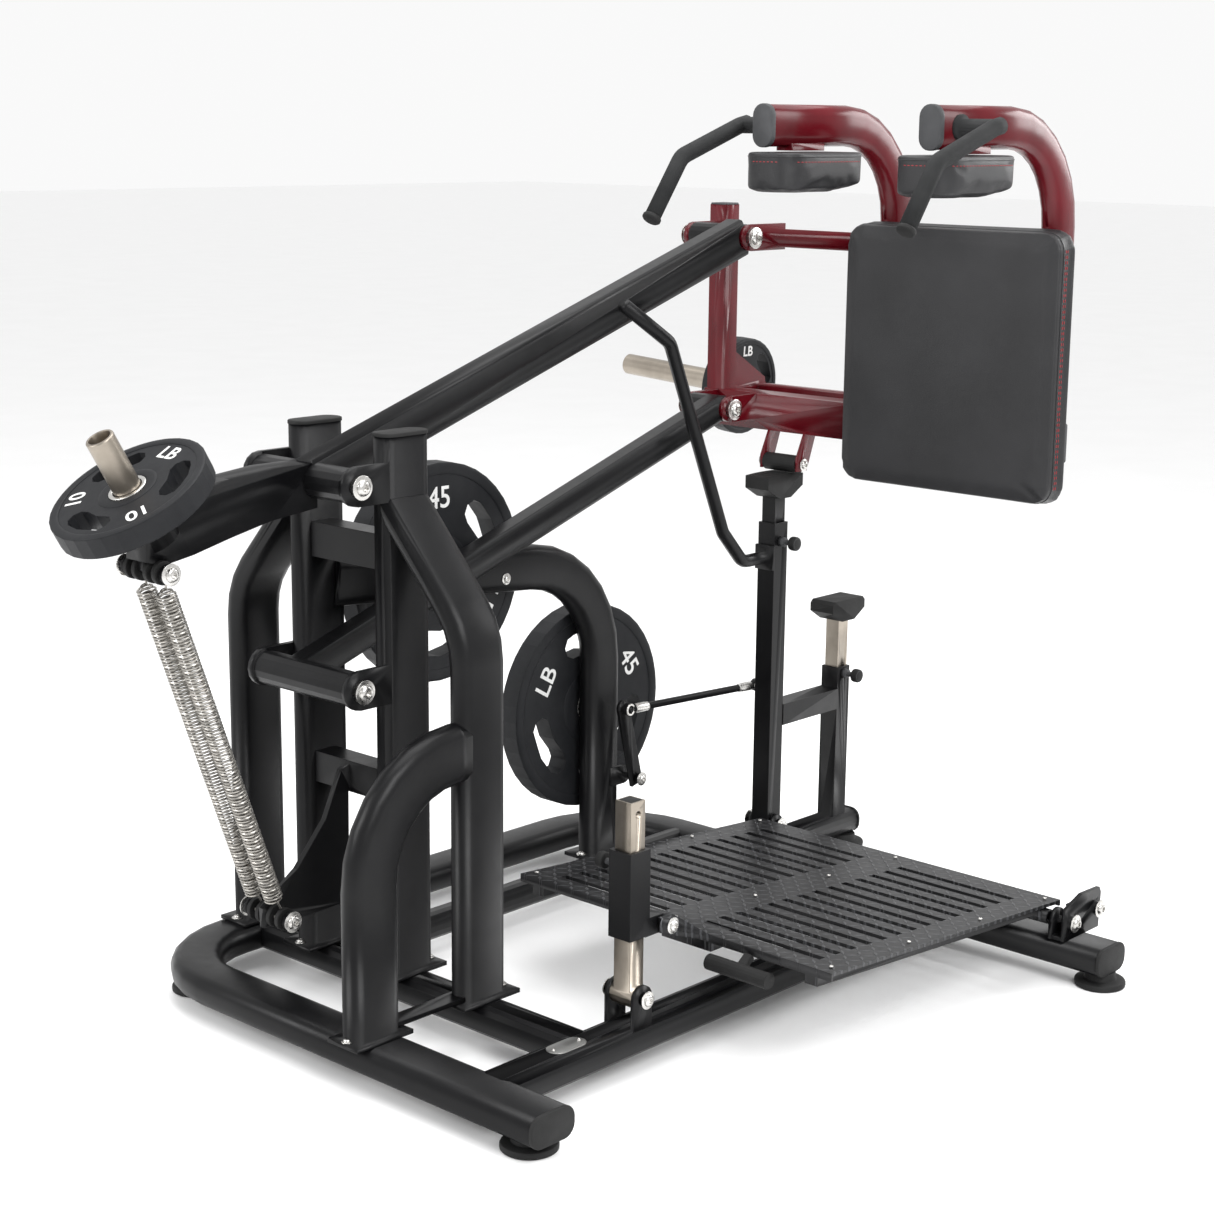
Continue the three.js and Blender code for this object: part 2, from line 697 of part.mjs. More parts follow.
function buildCarriage() {
  const half = CAR_POST / 2;
  const x0 = CAR_POST_X - BEAM_W / 2;
  const x1 = CAR_POST_X + BEAM_W / 2;
  const farEnd = CAR_Y + 24;
  const nearEnd = J_Y[0] - 30;
  let body = box(x0, x1, nearEnd, farEnd, ...BEAM_Z);
  body = body.add(
    box(
      CAR_POST_X - half,
      CAR_POST_X + half,
      CAR_Y - half,
      CAR_Y + half,
      BEAM_Z[1] - 10,
      CAR_TOP,
    ),
  );
  const rearHalf = REAR_TUBE_W / 2;
  body = body.add(
    box(REAR_TUBE_X - rearHalf, REAR_TUBE_X + rearHalf, J_Y[1] - 32, farEnd, ...REAR_TUBE_Z),
  );
  for (const y of [CAR_Y, J_Y[1]]) {
    body = body.add(
      box(x1 - 5, REAR_TUBE_X, y - 20, y + 20, REAR_TUBE_Z[0] + 2, REAR_TUBE_Z[1] - 1),
    );
  }
  body = body.add(
    plateXZ(
      [
        [CAR_POST_X + half - 2, REAR_TUBE_Z[1] - 4],
        [REAR_TUBE_X + rearHalf, REAR_TUBE_Z[1] - 4],
        [REAR_TUBE_X + rearHalf - 4, REAR_TUBE_Z[1] + 14],
        [CAR_POST_X + half - 2, REAR_TUBE_Z[1] + 92],
      ],
      CAR_Y - 5,
      CAR_Y + 5,
    ),
  );
  body = body.add(upperBar());
  const endX = PIVOT_X + REACH_X;
  for (const [z, [near, far]] of [
    [PIVOT_TOP + REACH_Z, UPPER_END],
    [PIVOT_LOW + REACH_Z, LOWER_END],
  ]) {
    const nearY = near - SIDE_PLAY - LUG_T;
    const farY = far + SIDE_PLAY;
    const upperPair = z > 1200;
    const root = upperPair ? CAR_POST_X : x0 + 8;
    body = body.add(lug(root, z, endX, z, 28, nearY, nearY + LUG_T));
    body = body.add(lug(root, z, endX, z, 28, farY, farY + LUG_T));
    body = body.subtract(bore(endX, z, nearY - 20, nearY + LUG_T + 5, BOLT_R + GAP));
    body = body.subtract(bore(endX, z, farY - 5, farY + LUG_T + 20, BOLT_R + GAP));
    const name = upperPair ? "carriage_upper_bolt" : "carriage_lower_bolt";
    add(name, bolt(endX, z, nearY - GAP, farY + LUG_T + GAP), "steel");
  }
  // Ears and pin of the rest roller, under the beam.
  for (const s of [-1, 1]) {
    const y = LOCK_Y + s * (ROLLER_LEN / 2 + SIDE_PLAY + 3);
    body = body.add(
      plateXZ(
        [
          [ROLLER_AT[0] - 17, ROLLER_AT[1] - 14],
          [ROLLER_AT[0] + 17, ROLLER_AT[1] - 14],
          [x0 + 40, BEAM_Z[0] + 4],
          [x0 + 40, BEAM_Z[0] + 10],
          [x0 + 4, BEAM_Z[0] + 10],
          [ROLLER_AT[0] - 17, ROLLER_AT[1] + 14],
        ],
        y - 3,
        y + 3,
      ),
    );
  }
  const rollerReach = ROLLER_LEN / 2 + 12;
  const pinY = [LOCK_Y - rollerReach, LOCK_Y + rollerReach];
  body = body.add(rodY(...ROLLER_AT, ...pinY, 7));
  const roller = rodY(...ROLLER_AT, LOCK_Y - ROLLER_LEN / 2, LOCK_Y + ROLLER_LEN / 2, ROLLER_R, 20);
  add("rest_roller", roller.subtract(bore(...ROLLER_AT, ...pinY, 7 + PLAY)), "black");

  const grownPad = backPad(GAP);
  body = body.subtract(grownPad);

  let index = 0;
  for (const [tag, y] of [
    ["near", J_Y[0]],
    ["far", J_Y[1]],
  ]) {
    const jTube = (grow) =>
      tube(
        [at(J_X, y, J_LOW), at(J_X, y, J_TOP), at(J_END, y, J_TOP)],
        J_W,
        J_D,
        Y,
        { ...OVAL, bend: J_BEND, grow },
      );
    const outward = index === 0 ? -1 : 1;
    const gy = y + outward * GRIP_OFF;
    const gripX = J_END + 50;
    const stub = rod(at(gripX, y + outward * (J_D / 2 - 4), J_TOP), at(gripX, gy, J_TOP), GRIP_R);
    const grip = tube(
      [
        at(gripX + 16, gy, J_TOP + 4),
        at(gripX - 5, gy, J_TOP),
        at(gripX - 180, gy, J_TOP - 60),
        at(gripX - 262, gy, J_TOP - 172),
      ],
      2 * GRIP_R,
      2 * GRIP_R,
      Y,
      { round: GRIP_R - 0.5, per: 3, bend: 40 },
    );
    const jBody = jTube(0);
    body = body.subtract(jTube(GAP).subtract(upperBar(40)));
    const padY = y - outward * SHOULDER_IN;
    const shoulder = shoulderPad(padY);
    const seat = box(J_END + 60, J_END + 160, y - 20, y + 20, J_TOP - J_W / 2 - 8, J_TOP - J_W / 2 + 6);
    const held = jBody.add(seat).subtract(shoulderPad(padY, GAP));
    const backed = held.subtract(grownPad).subtract(upperBar(GAP));
    add(tag + "_shoulder_tube", backed, "burgundy");
    const collar = rod(
      at(gripX, y + outward * (J_D / 2 + GAP), J_TOP),
      at(gripX, y + outward * (J_D / 2 + 8), J_TOP),
      GRIP_R + 8,
    );
    const bar = stub.add(grip).add(collar).subtract(jTube(GAP));
    add(tag + "_grip", bar, "black");
    add(tag + "_shoulder_pad", shoulder, "vinyl");
    index += 1;
  }
  add("carriage_frame", body, "burgundy");
  add("back_pad", backPad(), "vinyl");
}

function backPad(grow = 0) {
  const shape = section(
    PAD_Y[1] - PAD_Y[0] + 2 * grow,
    PAD_Z[1] - PAD_Z[0] + 2 * grow,
    PAD_ROUND,
    4,
  );
  const depth = PAD_X[1] - PAD_X[0] + 2 * grow;
  const g = new THREE.ExtrudeGeometry(shape, { depth, bevelEnabled: false });
  g.rotateX(Math.PI / 2);
  g.rotateZ(Math.PI / 2);
  g.translate(PAD_X[0] - grow, (PAD_Y[0] + PAD_Y[1]) / 2, (PAD_Z[0] + PAD_Z[1]) / 2);
  return solid(g);
}

// A shoulder pad: flat on top, arched underneath, its outer end hanging a little lower.
function shoulderPad(y, grow = 0) {
  const top = J_TOP - J_W / 2 - 8 + grow;
  const low = J_TOP - J_W / 2 - 8 - SHOULDER_T - grow;
  const [x0, x1] = SHOULDER_X;
  const post = (x, side, r) => {
    const cy = y + side * (SHOULDER_W / 2 - r);
    return rod(at(x, cy, low), at(x, cy, top), r + grow, 24);
  };
  const outline = wasm.Manifold.hull([
    post(x0 + 46, -1, 46),
    post(x0 + 46, 1, 46),
    post(x1 - 26, -1, 26),
    post(x1 - 26, 1, 26),
  ]);
  const profile = [
    [x0 - 1, low],
    [x1 - 96, low],
    [x1 + 1, low + 14],
    [x1 + 1, top],
    [x0 - 1, top],
  ];
  const w = SHOULDER_W / 2 + 5;
  return outline.intersect(plateXZ(profile.reverse(), y - w, y + w));
}

// ---- Lock post and stop post ----
function square(x, y, z0, z1, w) {
  return box(x - w / 2, x + w / 2, y - w / 2, y + w / 2, z0, z1);
}

// A spring pin along `way`: its tip starts at `tip` and its knob sits outside `wall`.
function pullPin(x, y, z, way, tip, wall) {
  const a = at(x, y, z);
  const p = (s) => a.clone().addScaledVector(way, s);
  const collar = rod(p(wall + GAP), p(wall + 12), KNOB_R - 2, 12);
  const knob = rod(p(wall + PIN_LEN - 16), p(wall + PIN_LEN), KNOB_R, 12);
  return collar.add(knob).add(rod(p(tip), p(wall + PIN_LEN - 10), PIN_R, 12));
}

function buildPosts() {
  const half = LOCK_W / 2;
  const inner = LOCK_INNER / 2;
  const bottom = RAIL_TOP + 6;
  let lock = square(LOCK_X, LOCK_Y, bottom, LOCK_TOP, LOCK_W);
  lock = lock.subtract(
    square(LOCK_X, LOCK_Y, LOCK_TOP - 260, LOCK_TOP + 1, LOCK_INNER + 2 * GAP),
  );
  lock = lock.subtract(bore(LOCK_X, LOCK_PIVOT_Z, LOCK_Y - 40, LOCK_Y + 40, 9 + PLAY));
  lock = lock.subtract(bore(LOCK_X, LOCK_TOP - LOCK_PIN_DROP, LOCK_Y - 60, LOCK_Y, PIN_R + PLAY));
  const rodY0 = LOCK_Y + half;
  lock = lock.add(rodY(ROD_END[0] + 18, ROD_END[1], rodY0 - 4, rodY0 + 26, 7, 12));
  add("lock_post", lock, "frame");

  const pinHole = (x, z) => bore(x, z, LOCK_Y - 60, LOCK_Y + 4, PIN_R + PLAY);
  let slider = square(LOCK_X, LOCK_Y, LOCK_TOP - 214, LOCK_INNER_TOP, LOCK_INNER);
  slider = slider.subtract(pinHole(LOCK_X, LOCK_TOP - LOCK_PIN_DROP));
  add("lock_slider", slider, "steel");

  // The pad's crown is an arc about the post's pivot, just under the roller.
  const reach = Math.hypot(ROLLER_AT[0] - LOCK_X, ROLLER_AT[1] - LOCK_PIVOT_Z) - ROLLER_R - 1.5;
  const crown = [];
  for (let i = 0; i <= 6; i++) {
    const dx = BUMPER_X * (0.5 - i / 6);
    crown.push([LOCK_X + dx, LOCK_PIVOT_Z + Math.sqrt(reach * reach - dx * dx)]);
  }
  const padLow = LOCK_INNER_TOP + GAP;
  crown.push([LOCK_X - BUMPER_X / 2, padLow + BUMPER_H - 26]);
  crown.push([LOCK_X - inner - 2, padLow]);
  crown.push([LOCK_X + inner + 2, padLow]);
  crown.push([LOCK_X + BUMPER_X / 2, padLow + BUMPER_H - 26]);
  add("lock_pad", plateXZ(crown, LOCK_Y - BUMPER_Y / 2, LOCK_Y + BUMPER_Y / 2), "black");

  const stopZ = STOP_INNER_TOP;
  let stop = square(STOP_X, LOCK_Y, STOP_TOP - 150, stopZ + 10, LOCK_INNER);
  stop = stop.subtract(pinHole(STOP_X, STOP_TOP - STOP_PIN_DROP));
  const bumper = plateXZ(
    [
      [STOP_X - BUMPER_X / 2, stopZ + BUMPER_H - 26],
      [STOP_X - half, stopZ],
      [STOP_X + half, stopZ],
      [STOP_X + BUMPER_X / 2, stopZ + BUMPER_H - 26],
      [STOP_X + BUMPER_X / 2, stopZ + BUMPER_H - 8],
      [STOP_X + BUMPER_X / 2 - 8, stopZ + BUMPER_H],
      [STOP_X - BUMPER_X / 2 + 8, stopZ + BUMPER_H],
      [STOP_X - BUMPER_X / 2, stopZ + BUMPER_H - 8],
    ],
    LOCK_Y - BUMPER_Y / 2,
    LOCK_Y + BUMPER_Y / 2,
  );
  add("stop_slider", stop, "steel");
  const seat = square(STOP_X, LOCK_Y, stopZ - 1, stopZ + 10 + GAP, LOCK_INNER + 2 * GAP);
  add("stop_pad", bumper.subtract(seat), "black");

  const out = at(0, -1, 0);
  add("lock_pin", pullPin(LOCK_X, LOCK_Y, LOCK_TOP - LOCK_PIN_DROP, out, inner + GAP, half), "black");
  add("stop_pin", pullPin(STOP_X, LOCK_Y, STOP_TOP - STOP_PIN_DROP, out, inner + GAP, half), "black");

  const handle = tube(
    [
      at(LOCK_X - half - GAP, LOCK_Y, 727),
      at(1258, LOCK_Y, 727),
      at(1190, LOCK_Y, 800),
      at(1010, LOCK_Y, 1215),
      at(868, LOCK_Y, 1300),
    ],
    28,
    28,
    Y,
    { round: 13.5, per: 3, bend: 36 },
  );
  const hold = box(LOCK_X - half - 8, LOCK_X - half - GAP, LOCK_Y - 24, LOCK_Y + 24, 700, 754);
  add("lock_handle", handle.add(hold), "black");

  // Release lever on the overhead brace and the rod that ties it to the lock post.
  const [tx, tz] = LEVER_TOP;
  const away = at(tx - LEVER_X, 0, tz - LEVER_Z).normalize();
  const tail = [LEVER_X - away.x * 15, LEVER_Z - away.z * 15];
  let lever = lug(...tail, tx, tz, 17, LEVER_Y - 4, LEVER_Y + 4);
  lever = lever.subtract(bore(LEVER_X, LEVER_Z, LEVER_Y - 30, LEVER_Y + 30, 7 + PLAY));
  lever = lever.add(rodY(tx, tz, LEVER_Y - 24, LEVER_Y - 3, 6, 12));
  add("lever_plate", lever, "frame");
  const rodPlane = LEVER_Y - 16;
  const postPlane = LOCK_Y + half + 16;
  const endX = ROD_END[0] + 18;
  let link = rod(at(tx, rodPlane, tz), at(endX, postPlane, ROD_END[1]), 8, 12);
  link = link.add(rodY(tx, tz, rodPlane - 6, rodPlane + 6, 14));
  link = link.add(rodY(endX, ROD_END[1], postPlane - 6, postPlane + 6, 14));
  link = link.subtract(bore(tx, tz, rodPlane - 30, rodPlane + 30, 6 + 3));
  link = link.subtract(bore(endX, ROD_END[1], postPlane - 30, postPlane + 30, 7 + PLAY));
  add("link_rod", link, "chrome");
}

// ---- Foot plate ----
function buildFootPlate() {
  const [x0, x1] = PLATE_X;
  const [z0, z1] = PLATE_Z;
  const top = (x) => z0 + ((z1 - z0) * (x - x0)) / (x1 - x0);
  let plate = plateXZ(
    [
      [x0, z0 - 16],
      [x0 + 5, z0 - 16],
      [x0 + 5, z0 - PLATE_T],
      [x1 - 5, z1 - PLATE_T],
      [x1 - 5, z1 - 12],
      [x1, z1 - 12],
      [x1, z1],
      [x0, z0],
    ],
    PLATE_Y[0],
    PLATE_Y[1],
  );
  const slots = 14;
  const pitch = 47.5;
  for (let i = 0; i < slots; i++) {
    const x = 595 + i * pitch;
    for (const [a, b] of [
      [-138, 137],
      [228, 502],
    ]) {
      plate = plate.subtract(box(x - 9, x + 9, a, b, top(x) - 30, top(x) + 10));
    }
  }
  // Beams under the sheet, either side of the slots' middle land, and the hinge barrel.
  for (const y of [PLATE_Y[0] + 46, 182, PLATE_Y[1] - 46]) {
    plate = plate.add(
      plateXZ(
        [
          [x0 + 2, z0 - 34],
          [HINGE_X - 30, z1 - 30],
          [HINGE_X + 12, HINGE_Z - 4],
          [HINGE_X + 12, z1 - 2],
          [x0 + 2, z0 - 2],
        ],
        y - 14,
        y + 14,
      ),
    );
  }
  plate = plate.add(rodY(HINGE_X, HINGE_Z, PLATE_Y[0] + 4, PLATE_Y[1] - 4, 15));
  const arms = SLEEVE_W / 2 + SIDE_PLAY + 6;
  for (const s of [-1, 1]) {
    const y = STRUT_Y + s * arms;
    const fork = plateXZ(
      [
        [LINK_X - 16, LINK_Z - 14],
        [x0 + 60, z0 - 34],
        [x0 + 60, z0 - 8],
        [x0 + 4, z0 - 4],
        [LINK_X + 14, LINK_Z + 15],
        [LINK_X - 16, LINK_Z + 14],
      ],
      y - 5,
      y + 5,
    );
    plate = plate.add(fork);
  }
  plate = plate.add(box(x0 + 2, x0 + 60, STRUT_Y - arms, 182, z0 - 34, z0 - 6));
  plate = plate.add(bolt(LINK_X, LINK_Z, STRUT_Y - arms - 5, STRUT_Y + arms + 5, 7, 12));
  plate = plate.subtract(bore(HINGE_X, HINGE_Z, PLATE_Y[0] - 10, PLATE_Y[1] + 10, 8 + PLAY));
  add("foot_plate", plate, "frame");

  let bracket = plateXZ(
    [
      [1240, RAIL_TOP + GAP],
      [1368, RAIL_TOP + GAP],
      [1372, 158],
      [1366, 170],
      [1300, 172],
      [1240, 152],
    ],
    PLATE_Y[0] - 44,
    PLATE_Y[0] - 36,
  );
  const inner2 = PLATE_Y[0] - 8;
  bracket = bracket.add(lug(HINGE_X, RAIL_TOP + GAP, HINGE_X, HINGE_Z, 24, inner2 - 8, inner2));
  bracket = bracket.add(box(1300, 1368, PLATE_Y[0] - 40, inner2, RAIL_TOP + GAP, 142));
  const basePlate = (a, b) => box(1240, 1336, a, b, RAIL_TOP + GAP, RAIL_TOP + GAP + 8);
  bracket = bracket.add(basePlate(PLATE_Y[0] - 44, PLATE_Y[0] - 8));
  bracket = bracket.add(rodY(HINGE_X, HINGE_Z, PLATE_Y[0] - 50, PLATE_Y[1] + 24, 8));
  bracket = bracket.add(rodY(HINGE_X, HINGE_Z, PLATE_Y[0] - 54, PLATE_Y[0] - 44, 15, 12));
  bracket = bracket.add(rodY(1353, 130, PLATE_Y[0] - 54, PLATE_Y[0] - 38, 15, 12));
  const farLug = lug(HINGE_X, RAIL_TOP + GAP, HINGE_X, HINGE_Z, 20, PLATE_Y[1] + 8, PLATE_Y[1] + 16);
  add("hinge_bracket", bracket.add(farLug), "frame");

  const grip = rodY(505, 172, -90, 50, 15);
  const stem = tube([at(505, -20, 172), at(x0 - 6, -20, z0 - 14)], 14, 20, Y, { round: 3 });
  add("plate_handle", grip.add(stem), "rubber");

  // Strut, sliding sleeve, its pull pin and the gas spring beside it.
  const half = 26;
  const y0 = STRUT_Y - half;
  const y1 = STRUT_Y + half;
  let strut = square(STRUT_X, STRUT_Y, STRUT_Z + 8, STRUT_TOP, STRUT_W);
  strut = strut.add(rodY(STRUT_X, STRUT_Z, y0, y1, 22));
  strut = strut.subtract(bore(STRUT_X, STRUT_Z, y0 - 5, y1 + 5, 8 + PLAY));
  strut = strut.subtract(bore(STRUT_X, STRUT_TOP - 24, y0, y1, 7));
  add("strut_tube", strut, "steel");
  const inner = STRUT_W + 2 * GAP + 0.4;
  let sleeve = square(STRUT_X, STRUT_Y, ...SLEEVE_Z, SLEEVE_W);
  sleeve = sleeve.add(lug(STRUT_X + 15, LINK_Z, LINK_X, LINK_Z, 17, y0, y1));
  sleeve = sleeve.subtract(square(STRUT_X, STRUT_Y, SLEEVE_Z[0] - 20, SLEEVE_Z[1] + 1, inner));
  sleeve = sleeve.subtract(bore(LINK_X, LINK_Z, y0 - 5, y1 + 5, 7 + 5));
  sleeve = sleeve.subtract(bore(STRUT_X, 372, STRUT_Y, y1 + 5, PIN_R + PLAY));
  add("strut_sleeve", sleeve, "frame");
  const out = at(0, 1, 0);
  const pin = pullPin(STRUT_X, STRUT_Y, 372, out, STRUT_W / 2 + 2 * GAP, SLEEVE_W / 2);
  add("strut_pin", pin, "black");
}

buildBase();
buildFrame();
buildArms();
buildDiscs();
buildCarriage();
buildPosts();
buildFootPlate();

// Put the origin on the floor under the middle of the bounding box.
const bounds = new THREE.Box3().setFromObject(group);
const centre = bounds.getCenter(new THREE.Vector3());
for (const mesh of group.children) mesh.geometry.translate(-centre.x, -centre.y, -bounds.min.z);
group.userData.origin = [centre.x, centre.y, bounds.min.z];

export default group;
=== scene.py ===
import json
import math

import bmesh
import bpy
from mathutils import Matrix, Vector
from mathutils.bvhtree import BVHTree

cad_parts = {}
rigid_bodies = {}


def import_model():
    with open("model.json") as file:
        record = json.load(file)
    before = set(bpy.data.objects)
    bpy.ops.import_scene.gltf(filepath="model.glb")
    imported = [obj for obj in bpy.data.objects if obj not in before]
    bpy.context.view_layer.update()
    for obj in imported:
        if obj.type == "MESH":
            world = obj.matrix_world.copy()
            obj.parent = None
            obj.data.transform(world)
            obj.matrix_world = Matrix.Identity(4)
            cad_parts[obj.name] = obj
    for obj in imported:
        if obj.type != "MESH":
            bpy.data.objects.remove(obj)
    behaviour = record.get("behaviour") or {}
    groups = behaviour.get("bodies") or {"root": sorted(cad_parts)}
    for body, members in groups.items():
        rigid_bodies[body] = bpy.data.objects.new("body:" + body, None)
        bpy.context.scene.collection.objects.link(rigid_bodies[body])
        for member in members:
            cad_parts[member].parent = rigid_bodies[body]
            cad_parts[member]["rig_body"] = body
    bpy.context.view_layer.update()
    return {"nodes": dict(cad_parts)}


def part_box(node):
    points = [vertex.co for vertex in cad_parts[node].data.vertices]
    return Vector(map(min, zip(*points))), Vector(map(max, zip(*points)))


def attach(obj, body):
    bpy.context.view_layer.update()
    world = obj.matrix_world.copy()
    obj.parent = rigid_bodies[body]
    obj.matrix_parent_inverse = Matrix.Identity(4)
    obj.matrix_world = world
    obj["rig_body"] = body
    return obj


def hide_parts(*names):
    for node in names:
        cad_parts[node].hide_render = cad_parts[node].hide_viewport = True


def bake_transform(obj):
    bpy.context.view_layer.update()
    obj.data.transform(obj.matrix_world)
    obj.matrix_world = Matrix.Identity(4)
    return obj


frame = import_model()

# Offset from the drawing's own coordinates, in mm, to the part's origin.
OX, OY = 654.1368, 434.8836
# Places on the drawing, in mm. A pair is an (x, z) place unless its name says y.
MID_Y = 695
SPRING_TOP = (-225, 905)
SPRING_LOW = (20, 226)
SPRING_SPREAD = 28
ROLLER_OFFSETS = (-40, -16, 16, 40)
PIN_HEAD = 64
# The arms turn on the uprights at PIVOT_X and on the carriage at CARRIAGE_PIVOT_X.
PIVOT_X, UPPER_PIVOT_Z, LOWER_PIVOT_Z = 126, 1023, 653
CARRIAGE_PIVOT_X, CARRIAGE_TOP_Z, CARRIAGE_LOW_Z = 1315, 1415, 1045
SHOULDER_TUBES_Y = (-25, 362)
UPPER_DISC, LOWER_DISC = (574, 768), (1012, 412)
DISC_NEAR_Y, DISC_FAR_Y = 828, 873
NODES = frame["nodes"]
BODY_OF = {n: o["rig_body"] for n, o in NODES.items()}


def P(x, y, z):
    """A point of the drawing, in mm, as a point of the scene."""
    return Vector(((x - OX) / 1000, (y - OY) / 1000, z / 1000))


# ---------------------------------------------------------------- materials
def new_mat(name, base, rough, metal=0.0, **sockets):
    m = bpy.data.materials.new(name)
    m.use_nodes = True
    n = m.node_tree.nodes
    b = n["Principled BSDF"]
    b.inputs["Base Color"].default_value = (*base, 1)
    b.inputs["Roughness"].default_value = rough
    b.inputs["Metallic"].default_value = metal
    for k, v in sockets.items():
        b.inputs[k.replace("_", " ")].default_value = v
    return m, n, m.node_tree.links, b


def coords(n, l, scale=(1, 1, 1)):
    tc = n.new("ShaderNodeTexCoord")
    mp = n.new("ShaderNodeMapping")
    mp.inputs["Scale"].default_value = scale
    l.new(tc.outputs["Object"], mp.inputs["Vector"])
    return mp.outputs["Vector"]


def noise_tex(n, l, vec, scale, detail=3, rough=0.55):
    t = n.new("ShaderNodeTexNoise")
    t.inputs["Scale"].default_value = scale
    t.inputs["Detail"].default_value = detail
    t.inputs["Roughness"].default_value = rough
    l.new(vec, t.inputs["Vector"])
    return t.outputs["Fac"]


def ramp(n, l, fac, a, b, lo=0.3, hi=0.7):
    r = n.new("ShaderNodeValToRGB")
    r.color_ramp.elements[0].position = lo
    r.color_ramp.elements[1].position = hi
    r.color_ramp.elements[0].color = (*a, 1)
    r.color_ramp.elements[1].color = (*b, 1)
    l.new(fac, r.inputs["Fac"])
    return r.outputs["Color"]


def remap(n, l, fac, lo, hi):
    r = n.new("ShaderNodeMapRange")
    r.inputs["To Min"].default_value = lo
    r.inputs["To Max"].default_value = hi
    l.new(fac, r.inputs["Value"])
    return r.outputs["Result"]


def bump(n, l, b, height, strength, dist, edge=0.0015):
    bp = n.new("ShaderNodeBump")
    bp.inputs["Strength"].default_value = strength
    bp.inputs["Distance"].default_value = dist
    l.new(height, bp.inputs["Height"])
    if edge:
        bv = n.new("ShaderNodeBevel")
        bv.samples = 4
        bv.inputs["Radius"].default_value = edge
        l.new(bv.outputs["Normal"], bp.inputs["Normal"])
    l.new(bp.outputs["Normal"], b.inputs["Normal"])


def coated(name, dark, light, rough, metal, coat, grain, strength, edge=0.002, spec=0.2):
    """Powder coat or lacquer: fine orange-peel bump, mottled tone and sheen."""
    sheen = {"Coat_Weight": coat, "Coat_Roughness": 0.18, "Specular_IOR_Level": spec}
    m, n, l, b = new_mat(name, dark, rough, metal, **sheen)
    v = coords(n, l)
    big = noise_tex(n, l, v, 9, 4)
    l.new(ramp(n, l, big, dark, light), b.inputs["Base Color"])
    fine = noise_tex(n, l, v, grain, 2)
    mix = noise_tex(n, l, v, 40, 5)
    l.new(remap(n, l, mix, rough - 0.06, rough + 0.08), b.inputs["Roughness"])
    bump(n, l, b, fine, strength, 0.0006, edge)
    return m


def metal(name, a, c, rough, stretch, strength=0.12, edge=0.001):
    m, n, l, b = new_mat(name, a, rough, 1.0)
    v = coords(n, l, stretch)
    f = noise_tex(n, l, v, 260, 3, 0.7)
    l.new(remap(n, l, f, rough - 0.08, rough + 0.12), b.inputs["Roughness"])
    patch = noise_tex(n, l, coords(n, l), 14, 5)
    l.new(ramp(n, l, patch, a, c, 0.35, 0.7), b.inputs["Base Color"])
    bump(n, l, b, f, strength, 0.0002, edge)
    return m


def rubber(name, dark, light, rough, grain, strength, edge=0.002):
    m, n, l, b = new_mat(name, dark, rough, 0.0, Specular_IOR_Level=0.2)
    v = coords(n, l)
    l.new(ramp(n, l, noise_tex(n, l, v, 18, 6), dark, light), b.inputs["Base Color"])
    l.new(remap(n, l, noise_tex(n, l, v, 60, 4), rough - 0.08, rough + 0.1), b.inputs["Roughness"])
    bump(n, l, b, noise_tex(n, l, v, grain, 3), strength, 0.0006, edge)
    return m


def vinyl(name):
    m, n, l, b = new_mat(name, (0.012, 0.012, 0.013), 0.45, 0, Specular_IOR_Level=0.35)
    v = coords(n, l)
    vor = n.new("ShaderNodeTexVoronoi")
    vor.feature = "DISTANCE_TO_EDGE"
    vor.inputs["Scale"].default_value = 620
    warp = n.new("ShaderNodeTexNoise")
    warp.inputs["Scale"].default_value = 300
    l.new(v, warp.inputs["Vector"])
    add = n.new("ShaderNodeVectorMath")
    add.operation = "MULTIPLY_ADD"
    add.inputs[1].default_value = (0.0012, 0.0012, 0.0012)
    l.new(warp.outputs["Color"], add.inputs[0])
    l.new(v, add.inputs[2])
    l.new(add.outputs["Vector"], vor.inputs["Vector"])
    big = noise_tex(n, l, v, 6, 3)
    l.new(ramp(n, l, big, (0.009, 0.009, 0.010), (0.016, 0.016, 0.0175)), b.inputs["Base Color"])
    l.new(remap(n, l, noise_tex(n, l, v, 25, 4), 0.36, 0.5), b.inputs["Roughness"])
    h = remap(n, l, vor.outputs["Distance"], 0, 1)
    bump(n, l, b, h, 0.5, 0.0008, 0)
    return m


